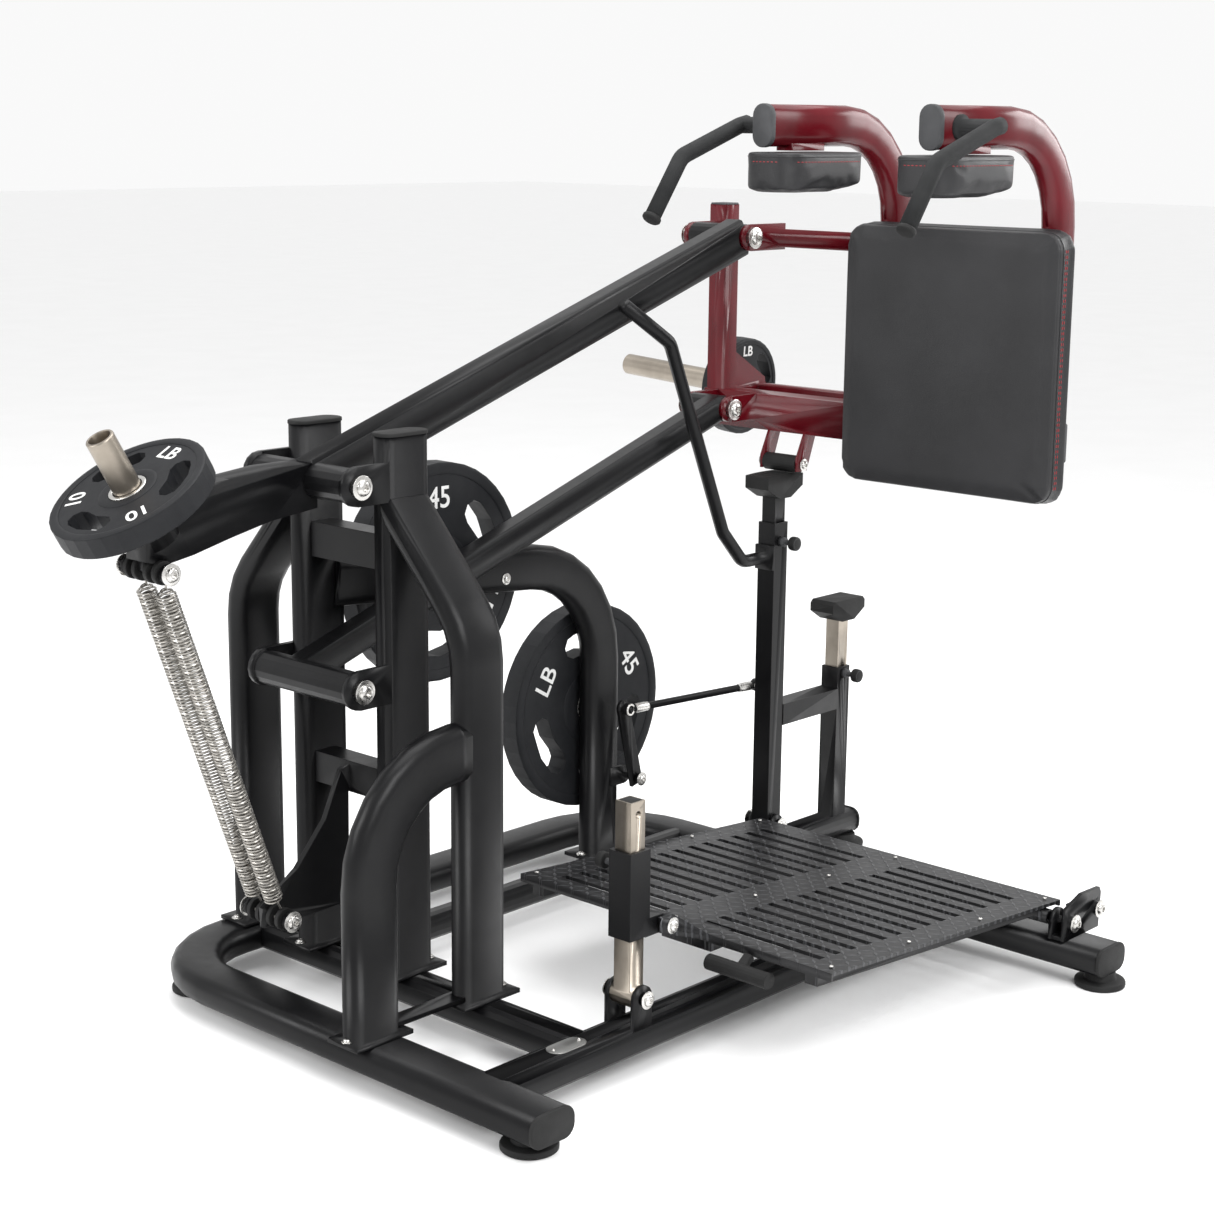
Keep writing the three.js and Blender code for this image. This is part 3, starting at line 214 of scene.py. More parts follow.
def tread(name):
    """Dark sheet with raised lozenges set in alternate directions."""
    m, n, l, b = new_mat(name, (0.02, 0.021, 0.023), 0.4, 0.45)
    v = coords(n, l)
    sep = n.new("ShaderNodeSeparateXYZ")
    l.new(v, sep.inputs[0])

    def op(kind, a, c=None, d=None):
        k = n.new("ShaderNodeMath")
        k.operation = kind
        for i, s in enumerate((a, c, d)):
            if s is None:
                continue
            if isinstance(s, (int, float)):
                k.inputs[i].default_value = s
            else:
                l.new(s, k.inputs[i])
        return k.outputs[0]

    pitch = 0.030
    rot = 0.7071
    u = op("MULTIPLY", op("ADD", sep.outputs[0], sep.outputs[1]), rot / pitch)
    w = op("MULTIPLY", op("SUBTRACT", sep.outputs[0], sep.outputs[1]), rot / pitch)

    def lozenge(p, q, shift):
        fu = op("SUBTRACT", op("FRACT", op("ADD", p, shift)), 0.5)
        fw = op("SUBTRACT", op("FRACT", op("ADD", q, shift)), 0.5)
        d = op("ADD", op("ABSOLUTE", op("MULTIPLY", fu, 2.2)), op("ABSOLUTE", op("MULTIPLY", fw, 7.5)))
        return op("MAXIMUM", op("SUBTRACT", 1.0, d), 0.0)

    h = op("MAXIMUM", lozenge(u, w, 0.0), lozenge(w, u, 0.5))
    h = op("MINIMUM", op("MULTIPLY", h, 2.5), 1.0)
    l.new(ramp(n, l, h, (0.012, 0.012, 0.013), (0.045, 0.046, 0.050), 0.1, 0.8), b.inputs["Base Color"])
    l.new(remap(n, l, noise_tex(n, l, v, 50, 5), 0.32, 0.5), b.inputs["Roughness"])
    bump(n, l, b, h, 0.9, 0.0014, 0.001)
    return m


M = {
    "black": coated(
        "satin_black_powder", (0.0025, 0.0025, 0.003), (0.005, 0.005, 0.0055), 0.34, 0.0, 0.0, 900, 0.16
    ),
    "burgundy": coated(
        "burgundy_lacquer", (0.062, 0.0015, 0.004), (0.092, 0.002, 0.006), 0.22, 0.0, 0.06, 500, 0.06,
        spec=0.28,
    ),
    "steel": metal("warm_brushed_steel", (0.36, 0.32, 0.27), (0.25, 0.22, 0.185), 0.34, (6, 1, 0.2)),
    "bright": metal("bright_zinc", (0.62, 0.61, 0.59), (0.46, 0.45, 0.43), 0.26, (1, 1, 1), 0.05),
    "spring": metal("spring_steel", (0.42, 0.40, 0.37), (0.27, 0.26, 0.24), 0.34, (1, 1, 1), 0.05, 0),
    "disc": rubber("disc_rubber", (0.007, 0.0075, 0.009), (0.012, 0.0125, 0.014), 0.52, 700, 0.25),
    "rubber": rubber("black_rubber", (0.009, 0.009, 0.009), (0.015, 0.015, 0.015), 0.62, 900, 0.35),
    "foam": rubber("grip_foam", (0.010, 0.0105, 0.011), (0.018, 0.0185, 0.019), 0.72, 1500, 0.6),
    "plastic": rubber("cap_plastic", (0.035, 0.036, 0.038), (0.055, 0.056, 0.059), 0.5, 1100, 0.5),
    "vinyl": vinyl("grained_vinyl"),
    "tread": tread("tread_sheet"),
}


def plain(name, base, rough, metal_v=0.0, grain=300, strength=0.1):
    m, n, l, b = new_mat(name, base, rough, metal_v)
    v = coords(n, l)
    dark = tuple(c * 0.82 for c in base)
    l.new(ramp(n, l, noise_tex(n, l, v, 30, 4), dark, base), b.inputs["Base Color"])
    bump(n, l, b, noise_tex(n, l, v, grain, 3), strength, 0.0004, 0)
    return m


M["white"] = plain("white_print", (0.72, 0.72, 0.71), 0.5)
M["thread"] = plain("red_thread", (0.33, 0.02, 0.025), 0.8, 0, 1500, 0.5)
# painted shade: near-black colour for the shaded hollow inside the strut tube's mouth
M["hole"] = plain("painted_shade_hollow", (0.006, 0.006, 0.006), 0.9)
M["badge"] = plain("badge_plate", (0.30, 0.30, 0.29), 0.32, 0.9, 500, 0.2)


# ---------------------------------------------------------------- mesh tools
def finish_mesh(name, bm, mat, body, sharp=35):
    """Turns a bmesh into a smooth-shaded piece with its material, riding on its body."""
    me = bpy.data.meshes.new(name)
    bm.to_mesh(me)
    bm.free()
    for p in me.polygons:
        p.use_smooth = True
    me.set_sharp_from_angle(angle=math.radians(sharp))
    o = bpy.data.objects.new(name, me)
    bpy.context.scene.collection.objects.link(o)
    me.materials.append(M[mat])
    if body:
        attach(o, body)
    return o


def dress(node, mat, sharp=35):
    """A smooth-shaded copy of a CAD node, its triangles joined at their corners."""
    bm = bmesh.new()
    bm.from_mesh(NODES[node].data)
    bmesh.ops.remove_doubles(bm, verts=bm.verts, dist=2e-5)
    o = finish_mesh(node + "_skin", bm, mat, BODY_OF[node], sharp)
    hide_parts(node)
    return o


def frame_of(axis):
    z = Vector(axis).normalized()
    x = z.orthogonal().normalized()
    if abs(z.y) > 0.9:
        x = Vector((1, 0, 0))
    y = z.cross(x)
    return Matrix((x, y, z)).transposed()


def revolve(bm, at, axis, profile, steps=32):
    """Adds a turned solid: profile is [(radius, height)] in mm along axis, first and last on the axis."""
    rot = frame_of(axis)

    def point(r, a, h):
        return at + rot @ Vector((r * math.cos(a) / 1000, r * math.sin(a) / 1000, h / 1000))

    rings = []
    for r, h in profile:
        if r < 1e-6:
            rings.append([bm.verts.new(point(0, 0, h))])
            continue
        ring = []
        for i in range(steps):
            ring.append(bm.verts.new(point(r, 2 * math.pi * i / steps, h)))
        rings.append(ring)
    for a, b in zip(rings, rings[1:]):
        for i in range(steps):
            j = (i + 1) % steps
            if len(a) == 1 and len(b) == 1:
                continue
            if len(a) == 1:
                bm.faces.new((a[0], b[i], b[j]))
            elif len(b) == 1:
                bm.faces.new((a[i], b[0], a[j]))
            else:
                bm.faces.new((a[i], b[i], b[j], a[j]))


def fix(bm):
    bmesh.ops.recalc_face_normals(bm, faces=bm.faces)
    return bm


def turned(name, at, axis, profile, mat, body, steps=32, sharp=30):
    bm = bmesh.new()
    revolve(bm, at, axis, profile, steps)
    return finish_mesh(name, fix(bm), mat, body, sharp)


def hex_bolt(bm, at, axis, r=9, washer=True):
    """A domed socket-head bolt on its washer."""
    if washer:
        disc = [(0, 0), (r * 1.45, 0), (r * 1.5, 0.5), (r * 1.5, 1.6), (r * 1.4, 2.1), (0, 2.1)]
        revolve(bm, at, axis, disc, 28)
    dome = [(0, 1.8), (r, 1.8), (r, 3)]
    for i in range(1, 6):
        a = i / 6 * math.pi / 2
        dome.append((r * (0.45 + 0.55 * math.cos(a)), 3 + r * 0.5 * math.sin(a)))
    top = 3 + r * 0.5
    dome += [(r * 0.42, top), (r * 0.40, top - r * 0.36), (0, top - r * 0.36)]
    revolve(bm, at, axis, dome, 24)


def bolts(name, body, items, mat="bright"):
    bm = bmesh.new()
    for at, axis, r in items:
        hex_bolt(bm, at, axis, r)
    return finish_mesh(name, fix(bm), mat, body, 40)


def slab(bm, at, axis, w, h, t, rnd, side=None, per=5, dome=1.0):
    """Adds a rounded plate w by h mm, t thick, on `at`, facing axis, its edge eased."""
    z = Vector(axis).normalized()
    x = Vector(side).normalized() if side else frame_of(axis).col[0]
    y = z.cross(x)
    rings = []
    for inset, height in ((0, 0), (0, t - dome), (dome * 0.35, t - dome * 0.3), (dome, t)):
        ring = []
        rr = max(rnd - inset, 0.2)
        for c in range(4):
            cx = (w / 2 - rnd) * (1 if c in (0, 3) else -1)
            cy = (h / 2 - rnd) * (1 if c < 2 else -1)
            for i in range(per + 1):
                a = (c + i / per) * math.pi / 2
                p = at + (x * (cx + rr * math.cos(a)) + y * (cy + rr * math.sin(a)) + z * height) / 1000
                ring.append(bm.verts.new(p))
        rings.append(ring)
    k = len(rings[0])
    for a, b in zip(rings, rings[1:]):
        for i in range(k):
            j = (i + 1) % k
            bm.faces.new((a[i], a[j], b[j], b[i]))
    bm.faces.new(list(reversed(rings[0])))
    bm.faces.new(rings[-1])


def caps(name, body, items, mat="plastic"):
    bm = bmesh.new()
    for at, axis, w, h, t, rnd, side in items:
        slab(bm, at, axis, w, h, t, rnd, side, dome=min(2.0, t * 0.5))
    return finish_mesh(name, fix(bm), mat, body, 50)


def sweep(name, pts, r, mat, body, sides=12):
    """A round bar through points, as a mesh with closed ends."""
    cu = bpy.data.curves.new(name, "CURVE")
    cu.dimensions = "3D"
    sp = cu.splines.new("POLY")
    sp.points.add(len(pts) - 1)
    for i, p in enumerate(pts):
        sp.points[i].co = (*p, 1)
    cu.bevel_depth = r / 1000
    cu.bevel_resolution = max(1, sides // 4 - 1)
    cu.use_fill_caps = True
    o = bpy.data.objects.new(name, cu)
    bpy.context.scene.collection.objects.link(o)
    bpy.context.view_layer.update()
    me = bpy.data.meshes.new_from_object(o.evaluated_get(bpy.context.evaluated_depsgraph_get()))
    bpy.data.objects.remove(o)
    me.name = name
    for p in me.polygons:
        p.use_smooth = True
    me.set_sharp_from_angle(angle=math.radians(50))
    me.materials.clear()
    me.materials.append(M[mat])
    ob = bpy.data.objects.new(name, me)
    bpy.context.scene.collection.objects.link(ob)
    if body:
        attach(ob, body)
    return ob


def words(name, text, at, axis, up, size, mat, body, depth=0.4):
    """Raised numerals facing axis with `up` as their upward direction."""
    cu = bpy.data.curves.new(name, "FONT")
    cu.body = text
    cu.size = size / 1000
    cu.extrude = depth / 1000
    cu.offset = 0.0006
    cu.align_x = "CENTER"
    cu.align_y = "CENTER"
    o = bpy.data.objects.new(name, cu)
    bpy.context.scene.collection.objects.link(o)
    z = Vector(axis).normalized()
    y = Vector(up)
    y = (y - z * y.dot(z)).normalized()
    x = y.cross(z)
    o.matrix_world = Matrix.Translation(at) @ Matrix((x, y, z)).transposed().to_4x4()
    bpy.context.view_layer.update()
    me = bpy.data.meshes.new_from_object(o.evaluated_get(bpy.context.evaluated_depsgraph_get()))
    me.transform(o.matrix_world)
    bpy.data.objects.remove(o)
    me.name = name
    me.materials.clear()
    me.materials.append(M[mat])
    ob = bpy.data.objects.new(name, me)
    bpy.context.scene.collection.objects.link(ob)
    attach(ob, body)
    return ob


# ---------------------------------------------------------------- pieces that keep their CAD shape
LOOK = {
    "burgundy": ["carriage_frame", "near_shoulder_tube", "far_shoulder_tube"],
    "steel": ["strut_tube", "stop_slider"],
    "bright": ["upper_pivot_bolt", "lower_pivot_bolt", "carriage_upper_bolt", "carriage_lower_bolt"],
    "rubber": ["plate_handle", "rest_roller", "lock_pad", "stop_pad"],
    "foam": ["near_grip", "far_grip"],
    "plastic": ["lock_pin", "stop_pin", "strut_pin"],
    "disc": ["upper_disc", "lower_disc", "load_plate", "counter_plate"],
    "tread": ["foot_plate"],
}
CUSTOM = {"back_pad", "near_shoulder_pad", "far_shoulder_pad"}
CUSTOM |= {"near_spring", "far_spring", "counter_horn", "load_horn"}
CUSTOM |= {n for n in NODES if n.startswith("foot_") and n != "foot_plate"}
mat_of = {n: k for k, ns in LOOK.items() for n in ns}
for node in sorted(NODES):
    if node not in CUSTOM:
        dress(node, mat_of.get(node, "black"))

# ---------------------------------------------------------------- springs
for tag, y in (("near", MID_Y - SPRING_SPREAD), ("far", MID_Y + SPRING_SPREAD)):
    a = P(SPRING_TOP[0], y, SPRING_TOP[1])
    b = P(SPRING_LOW[0], y, SPRING_LOW[1])
    d = (b - a).normalized()
    L = (b - a).length
    u = Vector((0, 1, 0))
    v = d.cross(u)
    wire, R = 2.1, 16.0
    start, stop = 0.034, L - 0.034
    turns = int((stop - start) / 0.0063)
    pts = []
    n = turns * 14
    # a hook, the coils with tapered ends, and a hook
    for i in range(9):
        q = math.pi * (1.15 - i / 8)
        pts.append(a + (v * math.cos(q) + d * (-math.sin(q))) * 0.0105 + d * 0.006)
    for i in range(n + 1):
        q = 2 * math.pi * i / 14
        s = start + (stop - start) * i / n
        e = min(1.0, i / 20, (n - i) / 20)
        rr = (R * (0.25 + 0.75 * e)) / 1000
        pts.append(a + d * s + (u * math.sin(q) + v * math.cos(q)) * rr)
    for i in range(9):
        q = math.pi * (0.15 + i / 8)
        pts.append(b + (v * math.cos(q) + d * math.sin(q)) * 0.0105 - d * 0.006)
    coil = sweep(tag + "_spring_coil", pts, wire, "spring", None, 8)
    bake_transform(coil)
    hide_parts(tag + "_spring")

# ---------------------------------------------------------------- pads
def solid_from(node, shrink):
    bm = bmesh.new()
    bm.from_mesh(NODES[node].data)
    bmesh.ops.remove_doubles(bm, verts=bm.verts, dist=2e-5)
    lo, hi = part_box(node)
    mid = (lo + hi) / 2
    size = hi - lo
    for v in bm.verts:
        for k in range(3):
            v.co[k] = mid[k] + (v.co[k] - mid[k]) * (1 - 2 * shrink[k] / size[k])
    return bm


def pad(node, shrink, cap, flat_axis, flat_side, voxel=0.0055):
    """Swells a cushion from its CAD solid, with its mounting side left flat."""
    bm = solid_from(node, shrink)
    o = finish_mesh(node + "_cushion", bm, "vinyl", None, 60)
    bpy.context.view_layer.objects.active = o
    o.select_set(True)
    rm = o.modifiers.new("remesh", "REMESH")
    rm.mode = "VOXEL"
    rm.voxel_size = voxel
    bpy.ops.object.modifier_apply(modifier=rm.name)
    rest = [v.co.copy() for v in o.data.vertices]
    lo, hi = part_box(node)
    vg = o.vertex_groups.new(name="pin")
    for v in o.data.vertices:
        edge = (v.co[flat_axis] - lo[flat_axis]) if flat_side < 0 else (hi[flat_axis] - v.co[flat_axis])
        vg.add([v.index], 1.0 if edge < 0.010 else 0.0, "REPLACE")
    cl = o.modifiers.new("cloth", "CLOTH")
    st = cl.settings
    st.use_pressure = True
    st.uniform_pressure_force = 4.0
    st.effector_weights.gravity = 0
    st.quality = 5
    st.mass = 0.3
    st.tension_stiffness = 15
    st.compression_stiffness = 15
    st.bending_stiffness = 0.5
    st.vertex_group_mass = "pin"
    cl.collision_settings.use_collision = False
    sc = bpy.context.scene
    for f in range(1, 21):
        sc.frame_set(f)
    ev = o.evaluated_get(bpy.context.evaluated_depsgraph_get())
    moved = [v.co.copy() for v in ev.data.vertices]
    o.modifiers.clear()
    sc.frame_set(1)
    for v, r, m in zip(o.data.vertices, rest, moved):
        step = m - r
        if step.length > cap:
            step *= cap / step.length
        v.co = r + step
    o.modifiers.clear()
    sm = o.modifiers.new("smooth", "SMOOTH")
    sm.factor = 0.6
    sm.iterations = 4
    bpy.ops.object.modifier_apply(modifier=sm.name)
    keep = 0.0005
    for v in o.data.vertices:
        if flat_side < 0:
            v.co[flat_axis] = max(v.co[flat_axis], lo[flat_axis] + keep)
        else:
            v.co[flat_axis] = min(v.co[flat_axis], hi[flat_axis] - keep)
    sub = o.modifiers.new("sub", "SUBSURF")
    sub.levels = 1
    sub.render_levels = 1
    bpy.ops.object.modifier_apply(modifier=sub.name)
    o.select_set(False)
    for p in o.data.polygons:
        p.use_smooth = True
    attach(o, "carriage")
    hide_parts(node)
    return o


def surface(o):
    dg = bpy.context.evaluated_depsgraph_get()
    return BVHTree.FromObject(o, dg)


def stitches(name, tree, ray, lines, body, length=6.5, gap=10.5, r=0.75):
    """Rows of small thread capsules laid on a surface. Each line is a list of points; ray is the
    direction they are dropped in."""
    bm = bmesh.new()
    for line in lines:
        dist = [0]
        for a, b in zip(line, line[1:]):
            dist.append(dist[-1] + (b - a).length)
        total, s = dist[-1], 0.003
        while s + length / 1000 < total:
            ends = []
            for q in (s, s + length / 1000):
                i = max(k for k in range(len(dist)) if dist[k] <= q)
                i = min(i, len(line) - 2)
                f = (q - dist[i]) / (dist[i + 1] - dist[i])
                p = line[i].lerp(line[i + 1], f)
                hit = tree.ray_cast(p - ray * 0.06, ray, 0.2)
                ends.append(hit[0] if hit[0] else None)
            s += gap / 1000
            if None in ends:
                continue
            a, b = ends
            d = b - a
            if not 0.002 < d.length < 0.02:
                continue
            mid = (a + b) / 2
            half = length / 2
            prof = [(0, -half), (r * 0.7, -half + 0.4), (r, -half / 2), (r * 1.1, 0)]
            prof += [(r, half / 2), (r * 0.7, half - 0.4), (0, half)]
            revolve(bm, mid - ray * 0.0001, d, prof, 8)
    return finish_mesh(name, fix(bm), "thread", body, 60)


back = pad("back_pad", (0.002, 0.003, 0.003), 0.006, 0, 1)
lo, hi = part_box("back_pad")
tree = surface(back)
for name, y, way in (("back_pad_side_stitch", lo.y, 1), ("back_pad_far_stitch", hi.y, -1)):
    side_rows = []
    for x in (lo.x + 0.024, lo.x + 0.030):
        side_rows.append([Vector((x, y, lo.z + 0.035)), Vector((x, y, hi.z - 0.035))])
    stitches(name, tree, Vector((0, way, 0)), side_rows, "carriage")


def welt(name, tree, pts, body, r=1.3):
    """A thin piping laid on a surface, closed into a ring."""
    out = []
    for p in pts:
        hit = tree.find_nearest(p)
        out.append(hit[0] + hit[1] * 0.0003)
    out.append(out[0])
    return sweep(name, out, r, "vinyl", body, 8)


def resample(ring, step):
    """Points along a closed ring, about `step` metres apart."""
    fine = []
    for a, b in zip(ring, ring[1:] + ring[:1]):
        k = max(1, int((b - a).length / step))
        fine += [a.lerp(b, i / k) for i in range(k)]
    return fine


ring = []
cy, cz = (lo.y + hi.y) / 2, (lo.z + hi.z) / 2
hy, hz, rr = (hi.y - lo.y) / 2, (hi.z - lo.z) / 2, 0.042
for c in range(4):
    sy, sz = (1 if c in (0, 3) else -1), (1 if c < 2 else -1)
    for i in range(9):
        a = (c + i / 8) * math.pi / 2
        y = cy + sy * (hy - rr) + rr * math.cos(a)
        z = cz + sz * (hz - rr) + rr * math.sin(a)
        ring.append(Vector((lo.x + 0.017, y, z)))
welt("back_pad_welt", tree, resample(ring, 0.012), "carriage")
bm = bmesh.new()
board = (hy * 2000 - 26, hz * 2000 - 26, 5.6)
slab(bm, Vector((hi.x - 0.0062, cy, cz)), (1, 0, 0), *board, 30, (0, 1, 0), 6, 1.0)
finish_mesh("back_pad_board", fix(bm), "black", "carriage", 40)

for tag in ("near", "far"):
    node = tag + "_shoulder_pad"
    o = pad(node, (0.002, 0.003, 0.002), 0.004, 2, 1, 0.0045)
    lo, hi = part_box(node)
    tr = surface(o)
    ring = []
    for sx, sy, rr in ((1, 1, 0.026), (-1, 1, 0.046), (-1, -1, 0.046), (1, -1, 0.026)):
        ex, ey = (hi.x - rr if sx > 0 else lo.x + rr), (hi.y - rr if sy > 0 else lo.y + rr)
        start = math.atan2(sy, sx) - math.pi / 4
        for i in range(9):
            a = start + i / 8 * math.pi / 2
            ring.append(Vector((ex + rr * math.cos(a), ey + rr * math.sin(a), hi.z - 0.010)))
    near_row = [Vector((x, lo.y - 0.004, hi.z - 0.020)) for x in (lo.x + 0.03, hi.x - 0.02)]
    far_row = [Vector((p.x, hi.y + 0.004, p.z)) for p in near_row]
    end_row = [Vector((lo.x - 0.004, y, hi.z - 0.020)) for y in (lo.y + 0.03, hi.y - 0.03)]
    for tag2, row, ray in (("n", near_row, (0, 1, 0)), ("f", far_row, (0, -1, 0)), ("e", end_row, (1, 0, 0))):
        stitches(f"{node}_stitch_{tag2}", tr, Vector(ray), [row], "carriage", 5.5, 9)
    welt(node + "_welt", tr, resample(ring, 0.01), "carriage", 1.0)

# ---------------------------------------------------------------- horns, discs
LEAN = Vector((-0.5, 0, math.sqrt(3) / 2))
HORN = P(-236, MID_Y, 1005)


def horn_shape(length, r, flange, t):
    return [
        (0, 0), (flange - 1, 0), (flange, 1), (flange, t - 1), (flange - 1, t),
        (r + 5, t), (r + 2, t + 2), (r, t + 5),
        (r, length - 2), (r - 1, length - 0.6), (r - 2.5, length), (r - 5, length), (r - 5.4, length - 1),
        (r - 5.6, length - 22), (0, length - 22),
    ]


h = turned("counter_horn_turned", HORN, LEAN, horn_shape(155, 25, 44, 12), "steel", "upper_arm", 48)
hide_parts("counter_horn")
SLOPE = Vector((0, 1, 24 / 375)).normalized()
LOAD = P(1560, 842, 1061)
load_shape = horn_shape(371.5, 24, 42, 9)
h = turned("load_horn_turned", LOAD + SLOPE * 0.0033, SLOPE, load_shape, "steel", "carriage", 48)
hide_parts("load_horn")


def turned_ring(bm, base, axis, prof, steps):
    """Adds a closed ring turned from a closed profile of (radius, height) in mm."""
    rot = frame_of(axis)
    loops = []
    for r, h in prof:
        ring = []
        for i in range(steps):
            a = 2 * math.pi * i / steps
            ring.append(bm.verts.new(base + rot @ Vector((r * math.cos(a), r * math.sin(a), h)) / 1000))
        loops.append(ring)
    for k, a in enumerate(loops):
        b = loops[(k + 1) % len(loops)]
        for i in range(steps):
            j = (i + 1) % steps
            bm.faces.new((a[i], b[i], b[j], a[j]))


def raised(r0, r1, height):
    """The profile of a raised band between two radii, its edges eased."""
    m = r1 - r0
    rise = [(r0, -1), (r0, height * 0.3), (r0 + m * 0.12, height * 0.8), (r0 + m * 0.3, height)]
    fall = [(r1 - m * 0.3, height), (r1 - m * 0.12, height * 0.8), (r1, height * 0.2), (r1, -1)]
    return rise + fall


def rings(name, at, axis, body, rim, rim_w, hub, thick, bore):
    """Raised rim and hub rings on both faces, and the steel insert in the bore."""
    axis = Vector(axis)
    faces = [(at - axis * thick / 1000, -axis), (at, axis)]
    bm = bmesh.new()
    for base, out in faces:
        turned_ring(bm, base, out, raised(rim - rim_w, rim - 0.8, 2.2), 72)
        turned_ring(bm, base, out, raised(bore + 9, hub, 1.8), 72)
    finish_mesh(name + "_rings", fix(bm), "disc", body, 40)
    insert = [(bore, -6), (bore + 0.6, 1.6), (bore + 1.5, 2.2)]
    insert += [(bore + 7, 2.2), (bore + 8, 1.4), (bore + 8, -1)]
    bm = bmesh.new()
    for base, out in faces:
        turned_ring(bm, base, out, insert, 48)
    finish_mesh(name + "_insert", fix(bm), "bright", body, 40)


def numbers(name, texts, at, axis, body, r, size, turn, flip=1, lift=0.3):
    """Numbers set between the three grip holes of a disc, on the face that looks along axis * flip."""
    axis = Vector(axis)
    side = Vector((1, 0, 0)) if abs(axis.y) > 0.5 else Vector((0, 1, 0))
    other = axis.cross(side).normalized()
    for i, text in enumerate(texts):
        q = math.radians(30 + 120 * i + turn)
        out = side * math.cos(q) + other * math.sin(q)
        face = axis * flip
        place = at + out * r / 1000 + face * lift / 1000
        words(f"{name}_num{i}", text, place, face, out, size, "white", body, 0.25)


AXIS = Vector((0, 1, 0))
top = HORN + LEAN * (12.3 + 38) / 1000
rings("counter_disc", top, LEAN, "counter_disc", 143, 17, 54, 38, 26.4)
numbers("counter_disc", ("10", "10", "LB"), top, LEAN, "counter_disc", 100, 44, 0)
for tag, (x, z), body, turn in (
    ("upper_disc", UPPER_DISC, "stored_upper", 0),
    ("lower_disc", LOWER_DISC, "stored_lower", 180),
):
    front = P(x, DISC_NEAR_Y, z)
    rings(tag, front, Vector((0, -1, 0)), body, 222.5, 24, 78, 45, 26.4)
    numbers(tag, ("LB", "45", "45"), front, AXIS, body, 150, 62, turn, -1)
    numbers(tag + "_b", ("LB", "45", "45"), P(x, DISC_FAR_Y, z), AXIS, body, 150, 62, turn, 1)
outer = LOAD + SLOPE * (12.3 + 38) / 1000
rings("load_disc", outer, SLOPE, "load_disc", 110, 12, 44, 38, 26.4)
numbers("load_disc", ("10", "10", "LB"), outer, SLOPE, "load_disc", 80, 32, 0)
numbers("load_disc_b", ("10", "10", "LB"), LOAD + SLOPE * 12.3 / 1000, SLOPE, "load_disc", 80, 32, 0, -1)

# ---------------------------------------------------------------- feet
for node in [n for n in NODES if n.startswith("foot_") and n != "foot_plate"]:
    lo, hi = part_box(node)
    c = (lo + hi) / 2
    prof = [(0, 0), (47, 0), (49.5, 1.5), (50, 4), (50, 9), (48.5, 12)]
    prof += [(43, 14), (32, 15), (31, 17), (30, 28), (29, 29.5), (0, 29.5)]
    o = turned(node + "_turned", Vector((c.x, c.y, 0)), (0, 0, 1), prof, "rubber", BODY_OF[node], 40)
    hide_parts(node)

# ---------------------------------------------------------------- end caps
UP = (0, 0, 1)
caps("upright_caps", "frame", [
    (P(245, 577, 1103.5), UP, 113, 53, 7, 24, (1, 0, 0)),
    (P(245, 813, 1103.5), UP, 113, 53, 7, 24, (1, 0, 0)),
    (P(-10, -52.5, 58), (0, -1, 0), 102, 58, 7, 24, (1, 0, 0)),
    (P(1288, -317.5, 58), (0, -1, 0), 102, 58, 7, 24, (1, 0, 0)),
    (P(1664.5, 606, 58), (1, 0, 0), 72, 58, 7, 24, (0, 1, 0)),
], "rubber")
caps("carriage_caps", "carriage", [
    (P(1000.5, y, 1650), (-1, 0, 0), 48, 83, 12, 23, (0, 1, 0)) for y in SHOULDER_TUBES_Y
])
caps("carriage_square_caps", "carriage", [
    (P(1430, 818, 1477.5), UP, 46, 46, 4, 5, (1, 0, 0)),
    (P(1430, -54.5, 1034), (0, -1, 0), 61, 79, 4, 5, (1, 0, 0)),
    (P(1430, 841.5, 1034), (0, 1, 0), 61, 79, 4, 5, (1, 0, 0)),
    (P(1560, 330.5, 1056), (0, -1, 0), 46, 32, 4, 5, (1, 0, 0)),
    (P(1560, 841.5, 1056), (0, 1, 0), 46, 32, 0.6, 5, (1, 0, 0)),
])

# ---------------------------------------------------------------- bolts
near, far = (0, -1, 0), (0, 1, 0)
dish = []
for z in (UPPER_PIVOT_Z, LOWER_PIVOT_Z):
    dish.append((P(PIVOT_X, 545.4, z), near, 15))
    dish.append((P(PIVOT_X, 844.6, z), far, 15))
dish += [(P(355, 64, 137), near, 11), (P(355, 156, 137), far, 11)]
for way, y in ((near, MID_Y - PIN_HEAD), (far, MID_Y + PIN_HEAD)):
    dish.append((P(SPRING_LOW[0], y, SPRING_LOW[1]), way, 13))
dish += [(P(1262, -254, 122), near, 12), (P(1353, -254, 130), near, 12)]
dish += [(P(1362, 561, 118), near, 12), (P(1362, 651, 118), far, 12)]
dish += [(P(1058, 711, 260), near, 10), (P(703, 769.8, 745), near, 8)]
flange_bolts = []
for x, y, w in ((245, 577, 124), (245, 813, 124), (245, 381, 124), (245, 1009, 124), (-15, 381, 112)):
    for sx in (-1, 1):
        flange_bolts.append((P(x + sx * (w / 2 - 2), y, 94.2), UP, 7))
for sx in (-1, 1):
    flange_bolts.append((P(1010 + sx * 56, 791, 94.2), UP, 7))
bolts("frame_bolts", "frame", dish + flange_bolts)
bolts("arm_bolts", "upper_arm", [
    (P(SPRING_TOP[0], MID_Y - PIN_HEAD, SPRING_TOP[1]), near, 13),
    (P(SPRING_TOP[0], MID_Y + PIN_HEAD, SPRING_TOP[1]), far, 13),
])
bolts("carriage_bolts", "carriage", [
    (P(CARRIAGE_PIVOT_X, 636.2, CARRIAGE_TOP_Z), near, 15),
    (P(CARRIAGE_PIVOT_X, 823.8, CARRIAGE_TOP_Z), far, 15),
    (P(CARRIAGE_PIVOT_X, 682.2, CARRIAGE_LOW_Z), near, 15),
    (P(CARRIAGE_PIVOT_X, 823.8, CARRIAGE_LOW_Z), far, 15),
    (P(1392, 550, 930), near, 9), (P(1392, 662, 930), far, 9),
])
